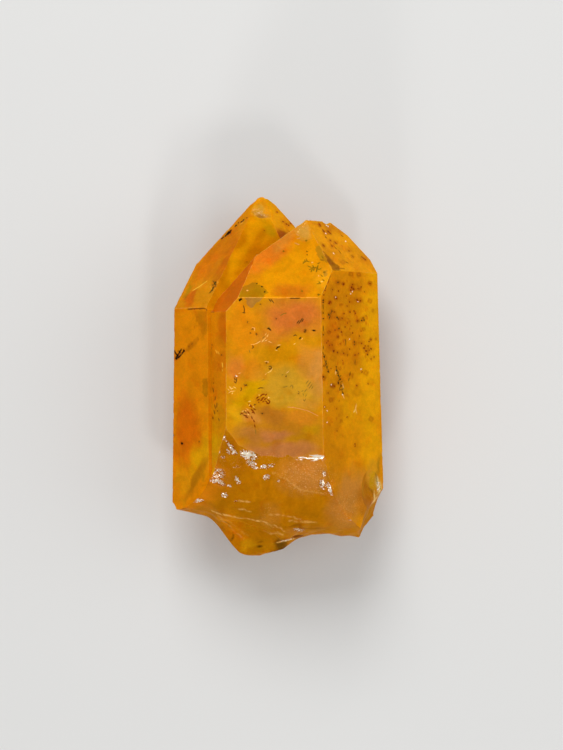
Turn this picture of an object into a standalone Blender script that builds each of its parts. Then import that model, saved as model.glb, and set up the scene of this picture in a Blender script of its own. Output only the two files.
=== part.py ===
"""Golden healer quartz: two quartz points grown side by side along one axis and broken off at the base.

The cluster lies on the back prism face of the rear point. +X is to the right of the front prism face,
+Y runs along the crystals' long axis to the tips, and +Z points up, out of the front prism face.
Each point is a block cut by the planes of its six prism faces and six tip faces, at quartz's own
angles. The points are joined in one solid, and the base is a curved break with a ledge and a tongue.
"""

import math

import bmesh
import bpy
from mathutils import Matrix, Vector, noise

MM = 0.001  # every size below is in millimetres

# Quartz: a tip face leans this far from the long axis.
TIP_LEAN = 38.2

# Driving sizes of the cluster.
THICKNESS = 32.0  # from the back face that it rests on to the front prism face
BLOCK = 60.0  # half the side of the block that each point is cut from

# Each face: azimuth about the long axis (0 faces up, +90 faces +X), distance of the prism face from
# the point's axis at mid length, its taper towards the tip in degrees, the height along Y of the
# shoulder where the tip face starts, and the tip face's lean.
FRONT_AXIS = (2.7, 16.7)
FRONT_FACES = (
    (0.0, THICKNESS - FRONT_AXIS[1], 0.0, 14.0, TIP_LEAN),
    (60.4, 12.3, 0.9, 19.0, 39.4),
    (120.0, 16.4, 2.0, 21.6, TIP_LEAN),
    (180.0, 15.5, 0.4, 14.2, TIP_LEAN),
    (240.6, 15.0, 0.6, 4.3, TIP_LEAN),
    (300.0, 18.0, 0.0, 11.5, 36.8),
)
REAR_AXIS = (-2.7, 11.9)
REAR_FACES = (
    (0.0, 15.4, 0.8, 12.0, TIP_LEAN),
    (60.0, 15.5, 0.0, 12.2, TIP_LEAN),
    (120.0, 15.4, 0.7, 18.0, TIP_LEAN),
    (180.0, REAR_AXIS[1], 0.0, 22.3, TIP_LEAN),
    (240.0, 12.3, 1.0, 20.8, TIP_LEAN),
    (300.3, 16.3, 0.0, 12.4, TIP_LEAN),
)
# The break at the base: height along Y of its front lip, and of its lower edge as seen from the
# front, each as (X, Y) corners joined by straight runs.
FRONT_LIP = ((-18.0, -10.4), (-13.0, -10.0), (-10.6, -6.6), (-9.2, -9.5), (-7.1, -12.4), (-2.7, -14.6), (20.0, -14.8))
LOWER_EDGE = (
    (-19.4, -24.5), (-18.4, -25.2), (-15.1, -25.9), (-12.6, -26.1), (-11.4, -27.1), (-10.3, -28.6),
    (-9.1, -30.4), (-8.0, -31.9), (-6.9, -33.0), (-5.7, -33.4), (-3.0, -32.9), (0.9, -32.2),
    (3.3, -30.6), (5.4, -29.9), (6.4, -29.6), (20.0, -29.4),
)
# The crease where the front slope ends and the tongue behind it starts.
CREASE = ((-11.6, -26.3), (-7.2, -26.9), (-2.6, -28.1), (1.2, -30.3), (4.2, -31.0))
SLOPE_LENGTH = 6.0  # the front slope eases off over this depth
SLOPE_DEPTH = 18.0  # and reaches the lower edge at this depth
CREASE_DEPTH = 12.0  # or the crease at this one, where a tongue follows
TONGUE_START, TONGUE_END = 13.2, 17.0  # the tongue drops between these depths, past a narrow shelf
BACK_RISE = 11.0  # how far the break climbs again towards the back face
BREAK_CELL = 1.0  # spacing of the break's facets

# The break is a patchwork of shallow shells that meet at sharp ridges, deeper on the end that faces
# away from the front, with ripples round the start of the crack and rough hackle at the front lip.
SHELL_SIZE, SHELL_DEPTH, END_SHELL_DEPTH = 6.5, 0.7, 2.6
CRACK_START = (-10.0, 0.0)
RIPPLE_PITCH, RIPPLE_HEIGHT = 3.6, 0.13
HACKLE_HEIGHT = 0.5

# Shell-shaped scars: centre of the scar on the surface, direction that it faces, radius of the
# curved cut, and how deep it goes.
SCARS = (
    ((17.8, -20.0, 15.6), (0.80, -0.12, 0.58), 9.0, 0.65),
    ((18.7, -26.3, 13.8), (0.89, -0.40, 0.20), 24.0, 2.1),
    ((-19.2, -24.2, 15.4), (-0.75, -0.65, 0.10), 3.0, 0.3),
    ((-3.0, 31.3, 10.8), (0.10, 0.60, 0.79), 5.0, 0.27),
    ((-3.2, 33.7, 9.6), (0.10, 0.97, 0.20), 4.0, 0.25),
    ((9.1, 28.4, 13.4), (0.30, 0.90, 0.32), 2.5, 0.3),
    ((3.4, 28.3, 12.6), (-0.10, 0.90, 0.42), 2.5, 0.35),
)

AMBER = (0.62, 0.24, 0.008, 1.0)


def clear_scene():
    for old in list(bpy.data.objects):
        bpy.data.objects.remove(old)


def collection(name):
    made = bpy.data.collections.new(name)
    bpy.context.scene.collection.children.link(made)
    return made


def mesh_object(name, bm, where):
    """The bmesh, in millimetres, as an object of the collection, in metres."""
    bmesh.ops.recalc_face_normals(bm, faces=bm.faces)
    bmesh.ops.scale(bm, vec=(MM, MM, MM), verts=bm.verts)
    mesh = bpy.data.meshes.new(name)
    bm.to_mesh(mesh)
    bm.free()
    made = bpy.data.objects.new(name, mesh)
    where.objects.link(made)
    return made


def quartz_material():
    made = bpy.data.materials.new("golden_quartz")
    made.use_nodes = True
    shader = made.node_tree.nodes["Principled BSDF"]
    shader.inputs["Base Color"].default_value = AMBER
    shader.inputs["Roughness"].default_value = 0.28
    shader.inputs["Metallic"].default_value = 0.0
    shader.inputs["IOR"].default_value = 1.544
    return made


def outward(azimuth, climb):
    """The normal of a face at this azimuth that faces this far towards the tips, in degrees."""
    turn, up = math.radians(azimuth), math.radians(climb)
    return Vector((math.sin(turn) * math.cos(up), math.sin(up), math.cos(turn) * math.cos(up)))


def cut(bm, point, normal):
    """Takes off what lies beyond the plane, and closes the cut with one flat face."""
    parts = bm.verts[:] + bm.edges[:] + bm.faces[:]
    done = bmesh.ops.bisect_plane(
        bm, geom=parts, dist=1e-5, plane_co=point, plane_no=normal, clear_outer=True
    )
    rim = [part for part in done["geom_cut"] if isinstance(part, bmesh.types.BMEdge)]
    if rim:
        bmesh.ops.edgeloop_fill(bm, edges=rim)


def quartz_point(axis, faces):
    """A six-sided prism with its six tip faces, and the block's flat end below."""
    bm = bmesh.new()
    bmesh.ops.create_cube(bm, size=2 * BLOCK)
    middle = Vector((axis[0], 0.0, axis[1]))
    for azimuth, distance, taper, shoulder, lean in faces:
        flat = outward(azimuth, 0.0)
        on_prism = middle + flat * distance
        cut(bm, on_prism, outward(azimuth, taper))
        drop = shoulder * math.tan(math.radians(taper))
        on_shoulder = on_prism - flat * drop + Vector((0.0, shoulder, 0.0))
        cut(bm, on_shoulder, outward(azimuth, lean))
    return bm


def along(corners, x):
    """Height at x on the straight runs through these corners, held level past the ends."""
    if x <= corners[0][0]:
        return corners[0][1]
    for (x0, y0), (x1, y1) in zip(corners, corners[1:]):
        if x <= x1:
            return y0 + (y1 - y0) * (x - x0) / (x1 - x0)
    return corners[-1][1]


def share(low, high, value):
    return min(1.0, max(0.0, (value - low) / (high - low)))


def break_height(x, depth):
    """Height along Y of the broken base, at x and at this depth behind the front face."""
    near = max(0.0, depth)
    lip, lower = along(FRONT_LIP, x), along(LOWER_EDGE, x)
    crease = max(along(CREASE, x), lower)
    reach = SLOPE_DEPTH - (SLOPE_DEPTH - CREASE_DEPTH) * share(0.0, 1.5, crease - lower)
    eased = (1.0 - math.exp(-near / SLOPE_LENGTH)) / (1.0 - math.exp(-reach / SLOPE_LENGTH))
    height = lip + (crease - lip) * min(1.0, eased)
    height += (lower - crease) * share(TONGUE_START, TONGUE_END, near)
    height += BACK_RISE * share(SLOPE_DEPTH, THICKNESS, near) ** 1.3
    return height + break_relief(x, near)


def break_relief(x, depth):
    """Shells, ripples round the start of the crack, and hackle near the front lip."""
    to_shell = noise.voronoi(Vector((x, depth, 0.0)) / SHELL_SIZE)[0][0]
    shell_depth = SHELL_DEPTH + (END_SHELL_DEPTH - SHELL_DEPTH) * share(17.0, 22.0, depth)
    shells = -shell_depth * to_shell * to_shell
    spread = math.hypot(x - CRACK_START[0], depth - CRACK_START[1])
    ripple = RIPPLE_HEIGHT * share(2.0, 14.0, spread) * math.sin(2 * math.pi * spread / RIPPLE_PITCH)
    hackle = HACKLE_HEIGHT * (1.0 - 0.7 * share(2.0, 9.0, depth))
    return shells + 0.1 + ripple + hackle * noise.noise(Vector((x * 0.85, depth * 0.85, 9.0)))


def break_cutter(where):
    """A block below the broken base, its top the height field of the break."""
    bm = bmesh.new()
    span = 24.0
    cells = round(2 * span / BREAK_CELL)
    bmesh.ops.create_grid(bm, x_segments=cells, y_segments=cells, size=span)
    for vert in bm.verts:
        x, depth = vert.co.x, vert.co.y + THICKNESS / 2
        vert.co = Vector((x, break_height(x, depth), THICKNESS - depth))
    bmesh.ops.triangulate(bm, faces=bm.faces)
    lowered = bmesh.ops.extrude_face_region(bm, geom=bm.faces[:])
    for part in lowered["geom"]:
        if isinstance(part, bmesh.types.BMVert):
            part.co.y = -BLOCK - 5.0
    return mesh_object("break_cutter", bm, where)


def scar_cutter(number, centre, facing, radius, deep, where):
    """A ball that bites this deep at the centre of the scar."""
    bm = bmesh.new()
    bmesh.ops.create_icosphere(bm, subdivisions=4, radius=radius)
    away = Vector(facing).normalized() * (radius - deep)
    bmesh.ops.rotate(bm, cent=(0, 0, 0), matrix=Matrix.Rotation(0.3 + number, 3, "Y"), verts=bm.verts)
    bmesh.ops.translate(bm, vec=Vector(centre) + away, verts=bm.verts)
    return mesh_object(f"scar_cutter_{number}", bm, where)


def boolean(target, other, operation):
    modifier = target.modifiers.new(other.name, "BOOLEAN")
    modifier.operation = operation
    modifier.solver = "EXACT"
    modifier.object = other
    other.hide_render = True
    other.display_type = "WIRE"


def settle_origin(target):
    """Fixes the shape, and puts the origin at the bottom centre of its box."""
    bpy.context.view_layer.update()
    graph = bpy.context.evaluated_depsgraph_get()
    shape = bpy.data.meshes.new_from_object(target.evaluated_get(graph))
    target.modifiers.clear()
    target.data = shape
    low = Vector(min(v.co[i] for v in shape.vertices) for i in range(3))
    high = Vector(max(v.co[i] for v in shape.vertices) for i in range(3))
    middle = (low + high) / 2
    shape.transform(Matrix.Translation((-middle.x, -middle.y, -low.z)))


def build():
    clear_scene()
    cluster = collection("golden_healer_quartz")
    cutters = collection("cutters")
    points = mesh_object("quartz_points", quartz_point(FRONT_AXIS, FRONT_FACES), cluster)
    rear = mesh_object("rear_point", quartz_point(REAR_AXIS, REAR_FACES), cutters)
    boolean(points, rear, "UNION")
    boolean(points, break_cutter(cutters), "DIFFERENCE")
    for number, scar in enumerate(SCARS):
        boolean(points, scar_cutter(number, *scar, cutters), "DIFFERENCE")
    settle_origin(points)
    points.data.materials.clear()
    points.data.materials.append(quartz_material())


build()
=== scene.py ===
"""Golden healer quartz, dressed: crystal faces with etch pits and stains, and a rough, shell-like break.

The visible mesh is made from the CAD solid itself. Each flat crystal face is filled with a fine,
even mesh, the broken surfaces are refined and roughened, and everything is only ever cut inwards,
so the piece stays inside the CAD box. Sizes are in millimetres unless a name says otherwise. Areas
and marks are measured in x and y, as seen from above.
"""

import math
import random

import bpy
import numpy as np
from mathutils import Euler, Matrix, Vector
from mathutils.geometry import delaunay_2d_cdt


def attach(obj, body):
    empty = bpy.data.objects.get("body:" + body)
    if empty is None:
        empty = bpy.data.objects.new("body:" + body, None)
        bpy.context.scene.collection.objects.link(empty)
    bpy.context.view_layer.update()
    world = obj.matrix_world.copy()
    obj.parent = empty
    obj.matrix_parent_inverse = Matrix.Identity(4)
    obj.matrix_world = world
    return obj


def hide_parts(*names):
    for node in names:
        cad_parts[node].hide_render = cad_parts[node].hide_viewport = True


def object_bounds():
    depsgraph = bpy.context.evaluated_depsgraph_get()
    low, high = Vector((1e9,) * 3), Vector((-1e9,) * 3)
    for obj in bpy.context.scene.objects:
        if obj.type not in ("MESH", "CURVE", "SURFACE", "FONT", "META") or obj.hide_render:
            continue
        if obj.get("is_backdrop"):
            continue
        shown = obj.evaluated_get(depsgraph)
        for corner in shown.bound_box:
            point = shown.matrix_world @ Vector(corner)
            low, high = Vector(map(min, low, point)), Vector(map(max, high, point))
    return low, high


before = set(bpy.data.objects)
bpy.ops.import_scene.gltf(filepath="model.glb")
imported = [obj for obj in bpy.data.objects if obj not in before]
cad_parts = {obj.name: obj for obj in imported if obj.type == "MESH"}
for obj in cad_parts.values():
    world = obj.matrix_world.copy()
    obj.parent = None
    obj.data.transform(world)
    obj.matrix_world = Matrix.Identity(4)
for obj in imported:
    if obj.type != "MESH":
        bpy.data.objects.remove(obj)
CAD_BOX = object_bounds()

MM = 0.001
NODE = "quartz_points"

# ------------------------------------------------------------------ telling the faces apart
BROKEN = -1  # surface number of everything that isn't a flat crystal face
PLANE_FIT = 0.012  # how far off a flat face its corners may lie
SAME_WAY = 0.9995  # least cosine between the normals of triangles of one face
SMALLEST_FACE, SMALLEST_START = 7.5, 1.0  # least area of a face, and of the triangle it's grown from
SLIVER = 0.02  # a triangle smaller than this may have any normal
PRISM_ANGLE = 60  # degrees between neighbouring faces
TIP_LEAN = 0.3  # the normal of a tip's face goes at least this far along y
LOOKS_UP, LIES_DOWN = 0.1, -0.99  # along z, for a face that looks up and for the one it rests on
FRONT_LIMIT, FRONT_SHIFT = 12.0, 7.0  # how far towards +X and +Z the front point's faces begin
NOTHING, NO_AREA, WELD = 1e-12, 1e-9, 1e-7  # too small to divide by, to fill, and to tell apart

# ------------------------------------------------------------------ mesh spacing
FINE, COARSE = 0.27, 0.62  # faces that look up, and faces that look down
BREAK_STEP = 0.29  # broken surfaces
RIM = 0.16  # the first row of points inside an edge, which makes the edge's small rounding
RIM_CLEAR = 0.93  # how much of the rim's width its own points keep from any edge
GRID_GAP = 0.45  # from the rim to the grid, as a share of a step
CLOSEST = 0.05  # between two points of the mesh

# ------------------------------------------------------------------ noise
NOISE_TURN = (0.7, 1.1, 0.4)  # in radians, which keeps the noise's cells off every axis
NOISE_GAIN = 1.3  # brings it to about -1 to 1
SEED_SHIFT, OCTAVE_SHIFT = 17.0, 9.0  # in cells, so that no two noises line up
CELL_PRIMES = (73856093, 19349663, 83492791)
SEED_PRIME, MIXING_PRIME = 2654435761, 1274126177

# ------------------------------------------------------------------ colours, as sRGB 0 to 255
BASE_TINTS = {
    "front_prism_0": (207, 139, 12),
    "front_tip_0": (220, 142, 6),
    "front_prism_60": (218, 138, 3),
    "front_tip_60": (226, 146, 3),
    "front_prism_300": (214, 126, 3),
    "front_tip_300": (198, 98, 2),
    "rear_prism_0": (201, 118, 3),
    "rear_tip_0": (196, 117, 2),
    "rear_tip_60": (226, 150, 3),
    "rear_prism_300": (222, 131, 2),
    "rear_tip_300": (212, 131, 1),
}
OTHER_TINT = (206, 124, 5)
BREAK_TINT = (181, 112, 3)
# How pale the line along a face's edges is, at its left and its right: wear and painted rim light.
# Below 0 it's a dark crack with painted shade beside it.
EDGE_WEAR_AND_LIGHT = {
    "front_prism_0": (0.5, 0.55),
    "front_tip_0": (0.35, 0.5),
    "front_tip_60": (-0.7, 0.5),
    "front_prism_60": (-1.0, 0.8),
    "front_prism_300": (0.15, -0.8),
    "rear_prism_300": (0.7, 0.1),
    "rear_tip_300": (0.6, 0.0),
    "rear_tip_0": (0.0, 0.1),
    "rear_tip_60": (0.1, 0.3),
    "rear_prism_0": (0.0, 0.0),
}
OTHER_EDGE_WEAR_AND_LIGHT = (0.28, 0.28)

# Broad soft areas of colour on a face: centre and half-widths in x and y, turn in degrees, colour,
# strength.
CLOUDS = {
    "front_prism_0": (
        # The pinkish clouds, at the top and along the bottom, are the film's colour with a painted sheen.
        ((2.6, 10.4), (5.6, 3.6), 10, (206, 112, 42), 0.95),
        ((-6.3, 8.8), (2.8, 6.0), 0, (221, 137, 14), 0.9),
        ((-8.0, 1.2), (2.0, 2.8), 0, (214, 126, 40), 0.9),
        ((-4.4, 0.4), (2.0, 2.6), 0, (210, 122, 18), 0.7),
        ((2.2, 4.4), (5.5, 3.0), 0, (206, 137, 5), 0.8),
        ((5.6, 2.4), (2.4, 3.0), 0, (206, 132, 46), 0.7),
        ((0.5, -10.8), (9.5, 3.4), 0, (176, 112, 24), 0.8),
        ((1.8, -2.0), (6.6, 3.6), -12, (198, 148, 36), 0.85),
        ((7.0, 0.4), (1.3, 4.2), 0, (206, 140, 58), 0.8),
        ((1.4, -4.4), (2.8, 1.6), 0, (198, 148, 34), 0.8),
        ((5.4, -5.0), (2.2, 1.3), 0, (202, 142, 46), 0.7),
        ((-5.4, -3.2), (4.0, 1.2), 38, (206, 152, 2), 0.95),
        ((-7.7, -6.8), (1.7, 2.2), 0, (216, 156, 16), 0.9),
        ((-4.9, -7.4), (1.9, 1.2), -20, (206, 136, 56), 0.75),
        ((-0.8, -7.2), (3.4, 1.5), -8, (178, 110, 28), 0.9),
        ((4.2, -7.6), (2.6, 1.6), 0, (202, 126, 26), 0.9),
        ((-6.8, -9.8), (1.8, 1.8), -30, (190, 126, 30), 0.85),
        ((6.2, -10.0), (1.9, 1.1), 0, (190, 136, 10), 0.9),
        ((-0.6, -10.6), (3.6, 1.3), -6, (184, 114, 58), 0.95),
        ((-5.2, -11.0), (2.2, 1.3), -40, (184, 118, 46), 0.85),
        ((4.0, -11.5), (2.6, 0.8), 0, (180, 122, 12), 0.85),
        ((0.9, -13.8), (7.8, 1.6), 2, (184, 115, 56), 1.0),
        ((-0.9, 7.0), (3.2, 1.5), 12, (208, 122, 34), 0.65),
    ),
    "front_tip_0": (
        ((-2.2, 22.6), (6.6, 2.5), 40, (220, 118, 26), 0.9),
        ((0.8, 24.9), (2.6, 1.3), 40, (204, 128, 38), 0.8),
        ((2.4, 15.4), (3.0, 1.6), 0, (206, 114, 16), 0.85),
        ((4.6, 26.6), (1.5, 1.5), 0, (212, 158, 66), 0.75),
        ((-5.8, 16.6), (2.4, 1.2), 30, (212, 128, 14), 0.6),
        ((7.6, 17.8), (1.8, 3.0), 0, (226, 154, 18), 0.7),
        ((-1.6, 17.8), (1.6, 1.2), 0, (226, 148, 6), 0.7),
    ),
    "front_prism_60": (
        ((10.2, 14.0), (1.8, 4.0), 0, (204, 122, 4), 0.7),
        ((12.4, 4.6), (3.2, 3.4), 0, (208, 127, 2), 0.8),
        ((12.6, 15.6), (2.8, 3.2), 0, (208, 129, 3), 0.7),
        ((9.4, 8.0), (1.5, 3.8), 0, (200, 110, 3), 0.8),
        # A lighter strip down the face's right side is painted light, for a slight turn of the face there.
        ((17.2, 0.0), (2.2, 24.0), 0, (234, 162, 3), 0.85),
        ((13.8, -6.0), (3.4, 5.0), 0, (218, 148, 2), 0.8),
        ((9.6, -5.0), (1.4, 9.0), 0, (200, 124, 3), 0.7),
        ((10.4, -14.0), (2.4, 3.4), 0, (196, 120, 4), 0.75),
        # Whitish haze low down: painted sheen over the face's colour.
        ((12.6, -21.6), (3.8, 4.6), 0, (190, 122, 44), 0.95),
        ((9.8, -19.0), (1.2, 4.0), 0, (196, 122, 4), 0.8),
        ((16.6, -24.0), (1.6, 3.4), 30, (180, 104, 10), 0.8),
        ((17.4, -17.6), (1.3, 2.4), 0, (204, 140, 24), 0.75),
        ((18.7, -17.0), (0.5, 1.7), 4, (150, 108, 16), 0.6),
        ((19.1, -20.2), (0.6, 1.5), -4, (208, 172, 96), 0.9),
        ((18.95, -20.0), (0.09, 1.2), -6, (112, 92, 26), 0.8),
    ),
    "front_tip_60": (
        ((10.0, 22.6), (1.6, 2.2), 0, (214, 130, 4), 0.7),
        ((15.2, 22.6), (2.6, 2.4), 0, (218, 138, 4), 0.6),
        ((10.0, 27.4), (3.0, 1.6), -20, (204, 124, 3), 0.85),
    ),
    "rear_tip_0": (
        ((-2.8, 28.8), (2.6, 1.8), 0, (214, 145, 4), 0.85),
        ((-7.4, 19.6), (1.8, 2.6), -20, (208, 132, 2), 0.8),
        ((-1.4, 27.0), (1.8, 2.2), 0, (204, 138, 4), 0.7),
        ((-4.0, 22.6), (1.8, 2.2), 0, (188, 104, 1), 0.6),
        ((-6.9, 21.2), (1.3, 4.4), -28, (218, 144, 3), 0.8),
        ((-4.9, 27.2), (1.5, 2.6), -25, (222, 148, 4), 0.7),
    ),
    "rear_tip_60": (
        # The dark patch where this face meets the front point is painted shadow.
        ((0.2, 25.9), (1.7, 1.1), -20, (156, 70, 4), 0.9),
        ((3.0, 28.4), (2.4, 0.9), -36, (214, 130, 8), 0.6),
    ),
    "rear_tip_300": (
        ((-10.2, 24.0), (4.6, 1.2), 48, (204, 110, 1), 0.85),
        ((-13.4, 19.6), (1.8, 3.8), -40, (208, 110, 2), 0.8),
        ((-16.4, 13.8), (1.4, 2.2), -30, (200, 94, 1), 0.9),
        ((-13.4, 15.0), (1.8, 2.2), 0, (214, 134, 3), 0.8),
        ((-9.4, 21.4), (1.0, 5.0), -28, (194, 98, 1), 0.85),
    ),
    "rear_prism_300": (
        ((-17.0, -9.6), (2.6, 6.6), 0, (211, 104, 1), 0.95),
        ((-15.2, 1.0), (1.6, 3.0), 20, (218, 126, 1), 0.7),
        ((-13.7, -15.2), (2.1, 5.2), -20, (220, 154, 3), 0.95),
        ((-17.6, -20.4), (1.2, 3.6), 0, (218, 142, 5), 0.8),
        # The dark band beside the break is painted shadow.
        ((-14.8, -19.3), (1.1, 4.3), -33, (176, 108, 4), 0.88),
        ((-16.2, 10.4), (3.0, 3.0), 0, (226, 134, 2), 0.8),
        ((-12.0, -3.0), (0.9, 9.0), 0, (220, 140, 3), 0.6),
    ),
    "front_prism_300": (
        ((-9.6, 8.8), (1.2, 3.4), 0, (198, 102, 3), 0.9),
        ((-10.8, 2.4), (1.2, 1.4), 0, (206, 112, 4), 0.7),
        ((-10.8, -7.0), (1.6, 4.0), 0, (202, 132, 4), 0.7),
        ((-12.2, -13.6), (2.2, 5.4), 0, (204, 150, 4), 0.8),
        # The dark band beside the break is painted shadow.
        ((-14.2, -18.7), (1.0, 3.4), -34, (176, 106, 3), 0.8),
    ),
}
# The same on every broken surface, where the small ones take the colour of the faces round them.
BREAK_CLOUDS = (
    ((0.0, 24.0), (30.0, 20.0), 0, (214, 140, 14), 1.0),
    ((-3.1, 30.2), (1.9, 0.7), -24, (156, 104, 34), 0.85),
    ((-3.9, 31.6), (1.0, 0.9), 0, (196, 144, 44), 0.85),
    # The whitish, hazy clouds here are the break's colour with a painted sheen.
    ((4.9, -18.2), (4.6, 3.6), 0, (190, 122, 46), 0.95),
    ((12.4, -24.6), (3.6, 3.4), 0, (190, 120, 40), 0.9),
    ((2.0, -22.0), (4.6, 2.4), -10, (182, 112, 4), 0.7),
    ((-11.4, -18.6), (2.6, 3.4), 30, (194, 114, 16), 0.7),
    ((-7.0, -16.8), (2.2, 1.6), 0, (172, 102, 4), 0.7),
    ((-14.8, -22.4), (3.6, 2.6), 0, (212, 124, 14), 0.9),
    ((-9.0, -12.6), (1.2, 1.6), 0, (160, 92, 4), 0.6),
    # The dark band beside the break is painted shadow.
    ((-14.2, -18.7), (1.0, 3.4), -34, (176, 106, 3), 0.8),
    # A whitish, hazy cloud: the break's colour with a painted sheen.
    ((-1.6, -25.4), (2.0, 2.4), -14, (186, 118, 34), 0.5),
    ((3.4, -28.8), (3.0, 0.9), -4, (184, 112, 30), 0.6),
    ((-8.6, -28.4), (2.2, 3.4), 30, (212, 126, 4), 0.9),
    ((-4.6, -31.4), (3.2, 1.5), 0, (182, 118, 4), 0.9),
    ((-5.8, -31.6), (1.6, 1.0), 20, (194, 134, 8), 0.8),
    ((-7.4, -29.6), (0.6, 1.5), 45, (214, 118, 6), 0.7),
    ((-9.8, -27.5), (0.14, 1.2), 43, (122, 74, 4), 0.7),
    ((-3.6, -31.7), (0.7, 0.4), 30, (100, 58, 4), 0.95),
    ((-3.4, -30.3), (0.7, 0.2), 0, (130, 76, 4), 0.8),
    ((-9.0, -29.9), (0.25, 1.0), -38, (110, 66, 4), 0.8),
    # Darker at the tongue's right foot: dark marks with painted shade.
    ((0.2, -31.6), (1.5, 1.2), 24, (96, 60, 3), 0.9),
    ((3.0, -30.2), (1.0, 0.5), 14, (104, 52, 4), 0.9),
    ((4.9, -27.4), (4.4, 0.3), 0, (150, 88, 4), 0.8),
    ((16.8, -22.6), (1.0, 2.0), -12, (182, 108, 6), 0.85),
    ((17.0, -18.2), (1.3, 2.2), 0, (216, 144, 30), 0.9),
    ((17.7, -19.2), (0.7, 1.9), -10, (198, 146, 10), 0.85),
    ((18.7, -20.0), (0.55, 1.8), -6, (200, 158, 70), 0.85),
    ((18.95, -19.8), (0.16, 1.7), -6, (240, 224, 170), 0.9),
    ((18.55, -20.4), (0.12, 1.4), -6, (232, 208, 140), 0.85),
    # The thin dark line across the scar is painted shadow.
    ((17.1, -21.3), (0.18, 1.2), 39, (146, 86, 6), 0.8),
    ((18.1, -22.1), (0.2, 1.1), 28, (236, 206, 124), 0.85),
    ((18.6, -16.9), (0.42, 1.4), 4, (104, 88, 16), 0.9),
    ((18.75, -19.6), (0.09, 1.2), -4, (120, 92, 24), 0.8),
    ((16.3, -23.2), (1.1, 1.0), -30, (164, 94, 8), 0.8),
    ((18.0, -23.3), (0.25, 1.6), -35, (238, 198, 132), 0.8),
)

# ------------------------------------------------------------------ small marks on the faces
# Each is placed by the pixel of the photo that shows it. Its size is in millimetres.
PHOTO_SIZE = (563, 750)
BLACK, SOOT, DARK, MOSS = (20, 10, 6), (44, 34, 12), (96, 60, 18), (78, 64, 14)
DARK_RED, BROWN, OLIVE, GREY = (130, 45, 6), (130, 74, 12), (142, 104, 12), (150, 112, 34)
# The white is a painted highlight: the glints on the break and on small pits.
PALE, PINK, GLINT_WHITE, GOLD = (242, 190, 100), (222, 150, 84), (255, 240, 216), (244, 186, 60)

# Stains: face, how far the border fades, what the stain leaves of red, green and blue, and corners.
STAINS = (
    ("front_tip_0", 0.03, (0.64, 0.74, 1.4), (
        (238.6, 298), (239.2, 291), (243, 287), (249, 283.4), (256, 282.2), (261, 285.6), (265, 288.8),
        (268.4, 292.6), (265, 295), (263, 298),
    )),
    ("front_prism_0", 0.05, (0.72, 0.8, 7.0), (
        (245, 296), (263, 296), (260, 301), (256, 303.4), (252.6, 307.4), (249.6, 307.4), (246.6, 303),
    )),
    ("front_tip_0", 0.05, (0.64, 0.74, 3.0), (
        (315.6, 246), (322, 246), (326, 252), (331, 260), (327, 263), (322.5, 261), (318, 257.4),
        (316, 252),
    )),
    ("front_tip_0", 0.05, (0.7, 0.78, 3.0), ((323.5, 271), (327, 269.6), (326.8, 276), (323.4, 276.6))),
    ("front_tip_60", 0.03, (0.46, 0.42, 0.8), (
        (322.4, 249.4), (325.6, 253), (329.8, 258.2), (333.6, 262), (339.8, 266.6), (340.4, 270.6),
        (333, 270.6), (329.4, 264), (325, 257),
    )),
    ("rear_prism_300", 0.12, (0.8, 0.8, 0.8), (
        (195.4, 311), (207.4, 311), (207.4, 334), (203, 336), (200.4, 325), (195.6, 320),
    )),
    ("rear_prism_300", 0.12, (0.8, 0.76, 0.8), (
        (197.4, 336.6), (199.6, 339.6), (196.4, 345), (190, 350.6), (185, 352), (189, 344),
    )),
    ("rear_prism_300", 0.08, (0.7, 0.76, 0.8), (
        (202.6, 379), (207.4, 378.6), (208.6, 394), (205.4, 397.4), (202.2, 392),
    )),
    ("front_prism_300", 0.12, (0.74, 0.84, 1.2), (
        (207, 378.6), (210.8, 379), (211.4, 388), (208.6, 396), (207, 394),
    )),
    ("rear_tip_300", 0.16, (0.72, 0.96, 2.0), ((190, 284), (192, 286), (186.5, 299), (183, 298))),
    ("rear_tip_0", 0.5, (0.82, 0.96, 1.6), (
        (264, 226), (271, 225), (276, 230), (276.6, 234), (273, 237), (266, 233),
    )),
)

# Soft rusty rings: face, strength, and the place and radius of each.
RINGS = (
    ("front_prism_60", 0.8, (
        (351, 274, 0.5), (358.7, 274.5, 0.45), (343.3, 283.5, 0.32), (370, 283, 0.45), (335.6, 297.6, 0.36),
        (330, 302, 0.3), (341, 305, 0.3), (370, 301, 0.45), (373, 310.6, 0.28), (357.5, 321, 0.35),
        (329, 332.5, 0.36), (363.7, 329, 0.36), (338, 337, 0.3), (376, 339, 0.28), (370.6, 339.4, 0.26),
        (323.5, 378, 0.5), (366, 373, 0.5), (331, 400, 0.42), (341.5, 421, 0.26), (371, 419, 0.5),
        (340, 368.5, 0.3), (331.6, 385.6, 0.3), (324.7, 407, 0.3), (360, 289.5, 0.3), (333, 386, 0.5),
    )),
    ("front_prism_60", 0.32, (
        (338, 282.5, 0.45), (363, 319, 0.5), (330.6, 346, 0.6), (366.5, 351, 0.7), (371, 382, 0.7),
        (355, 287, 0.8), (359, 300, 0.6), (333, 314, 0.8), (350, 377, 0.6), (345, 352, 0.7),
        (347, 320, 0.5), (355.5, 363, 0.4), (324.5, 358, 0.6), (340, 381, 0.9), (352, 300, 0.7),
        (341, 322, 0.7), (356, 340, 0.8), (348, 334, 0.6), (328, 350, 0.6), (357, 392, 0.8),
        (346, 398, 0.7), (333, 358, 0.6),
    )),
    ("front_tip_60", 0.6, (
        (325, 232.6, 0.5), (323.6, 245.6, 0.4), (335.6, 242.6, 0.5), (329.4, 232.4, 0.5),
        (352.5, 256.4, 0.4), (331, 262, 0.6), (343, 262, 0.5), (362, 258, 0.4), (319.6, 225, 0.4),
    )),
    ("front_prism_0", 0.35, ((246.2, 399.4, 0.5), (260, 365.6, 0.3))),
)

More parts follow.
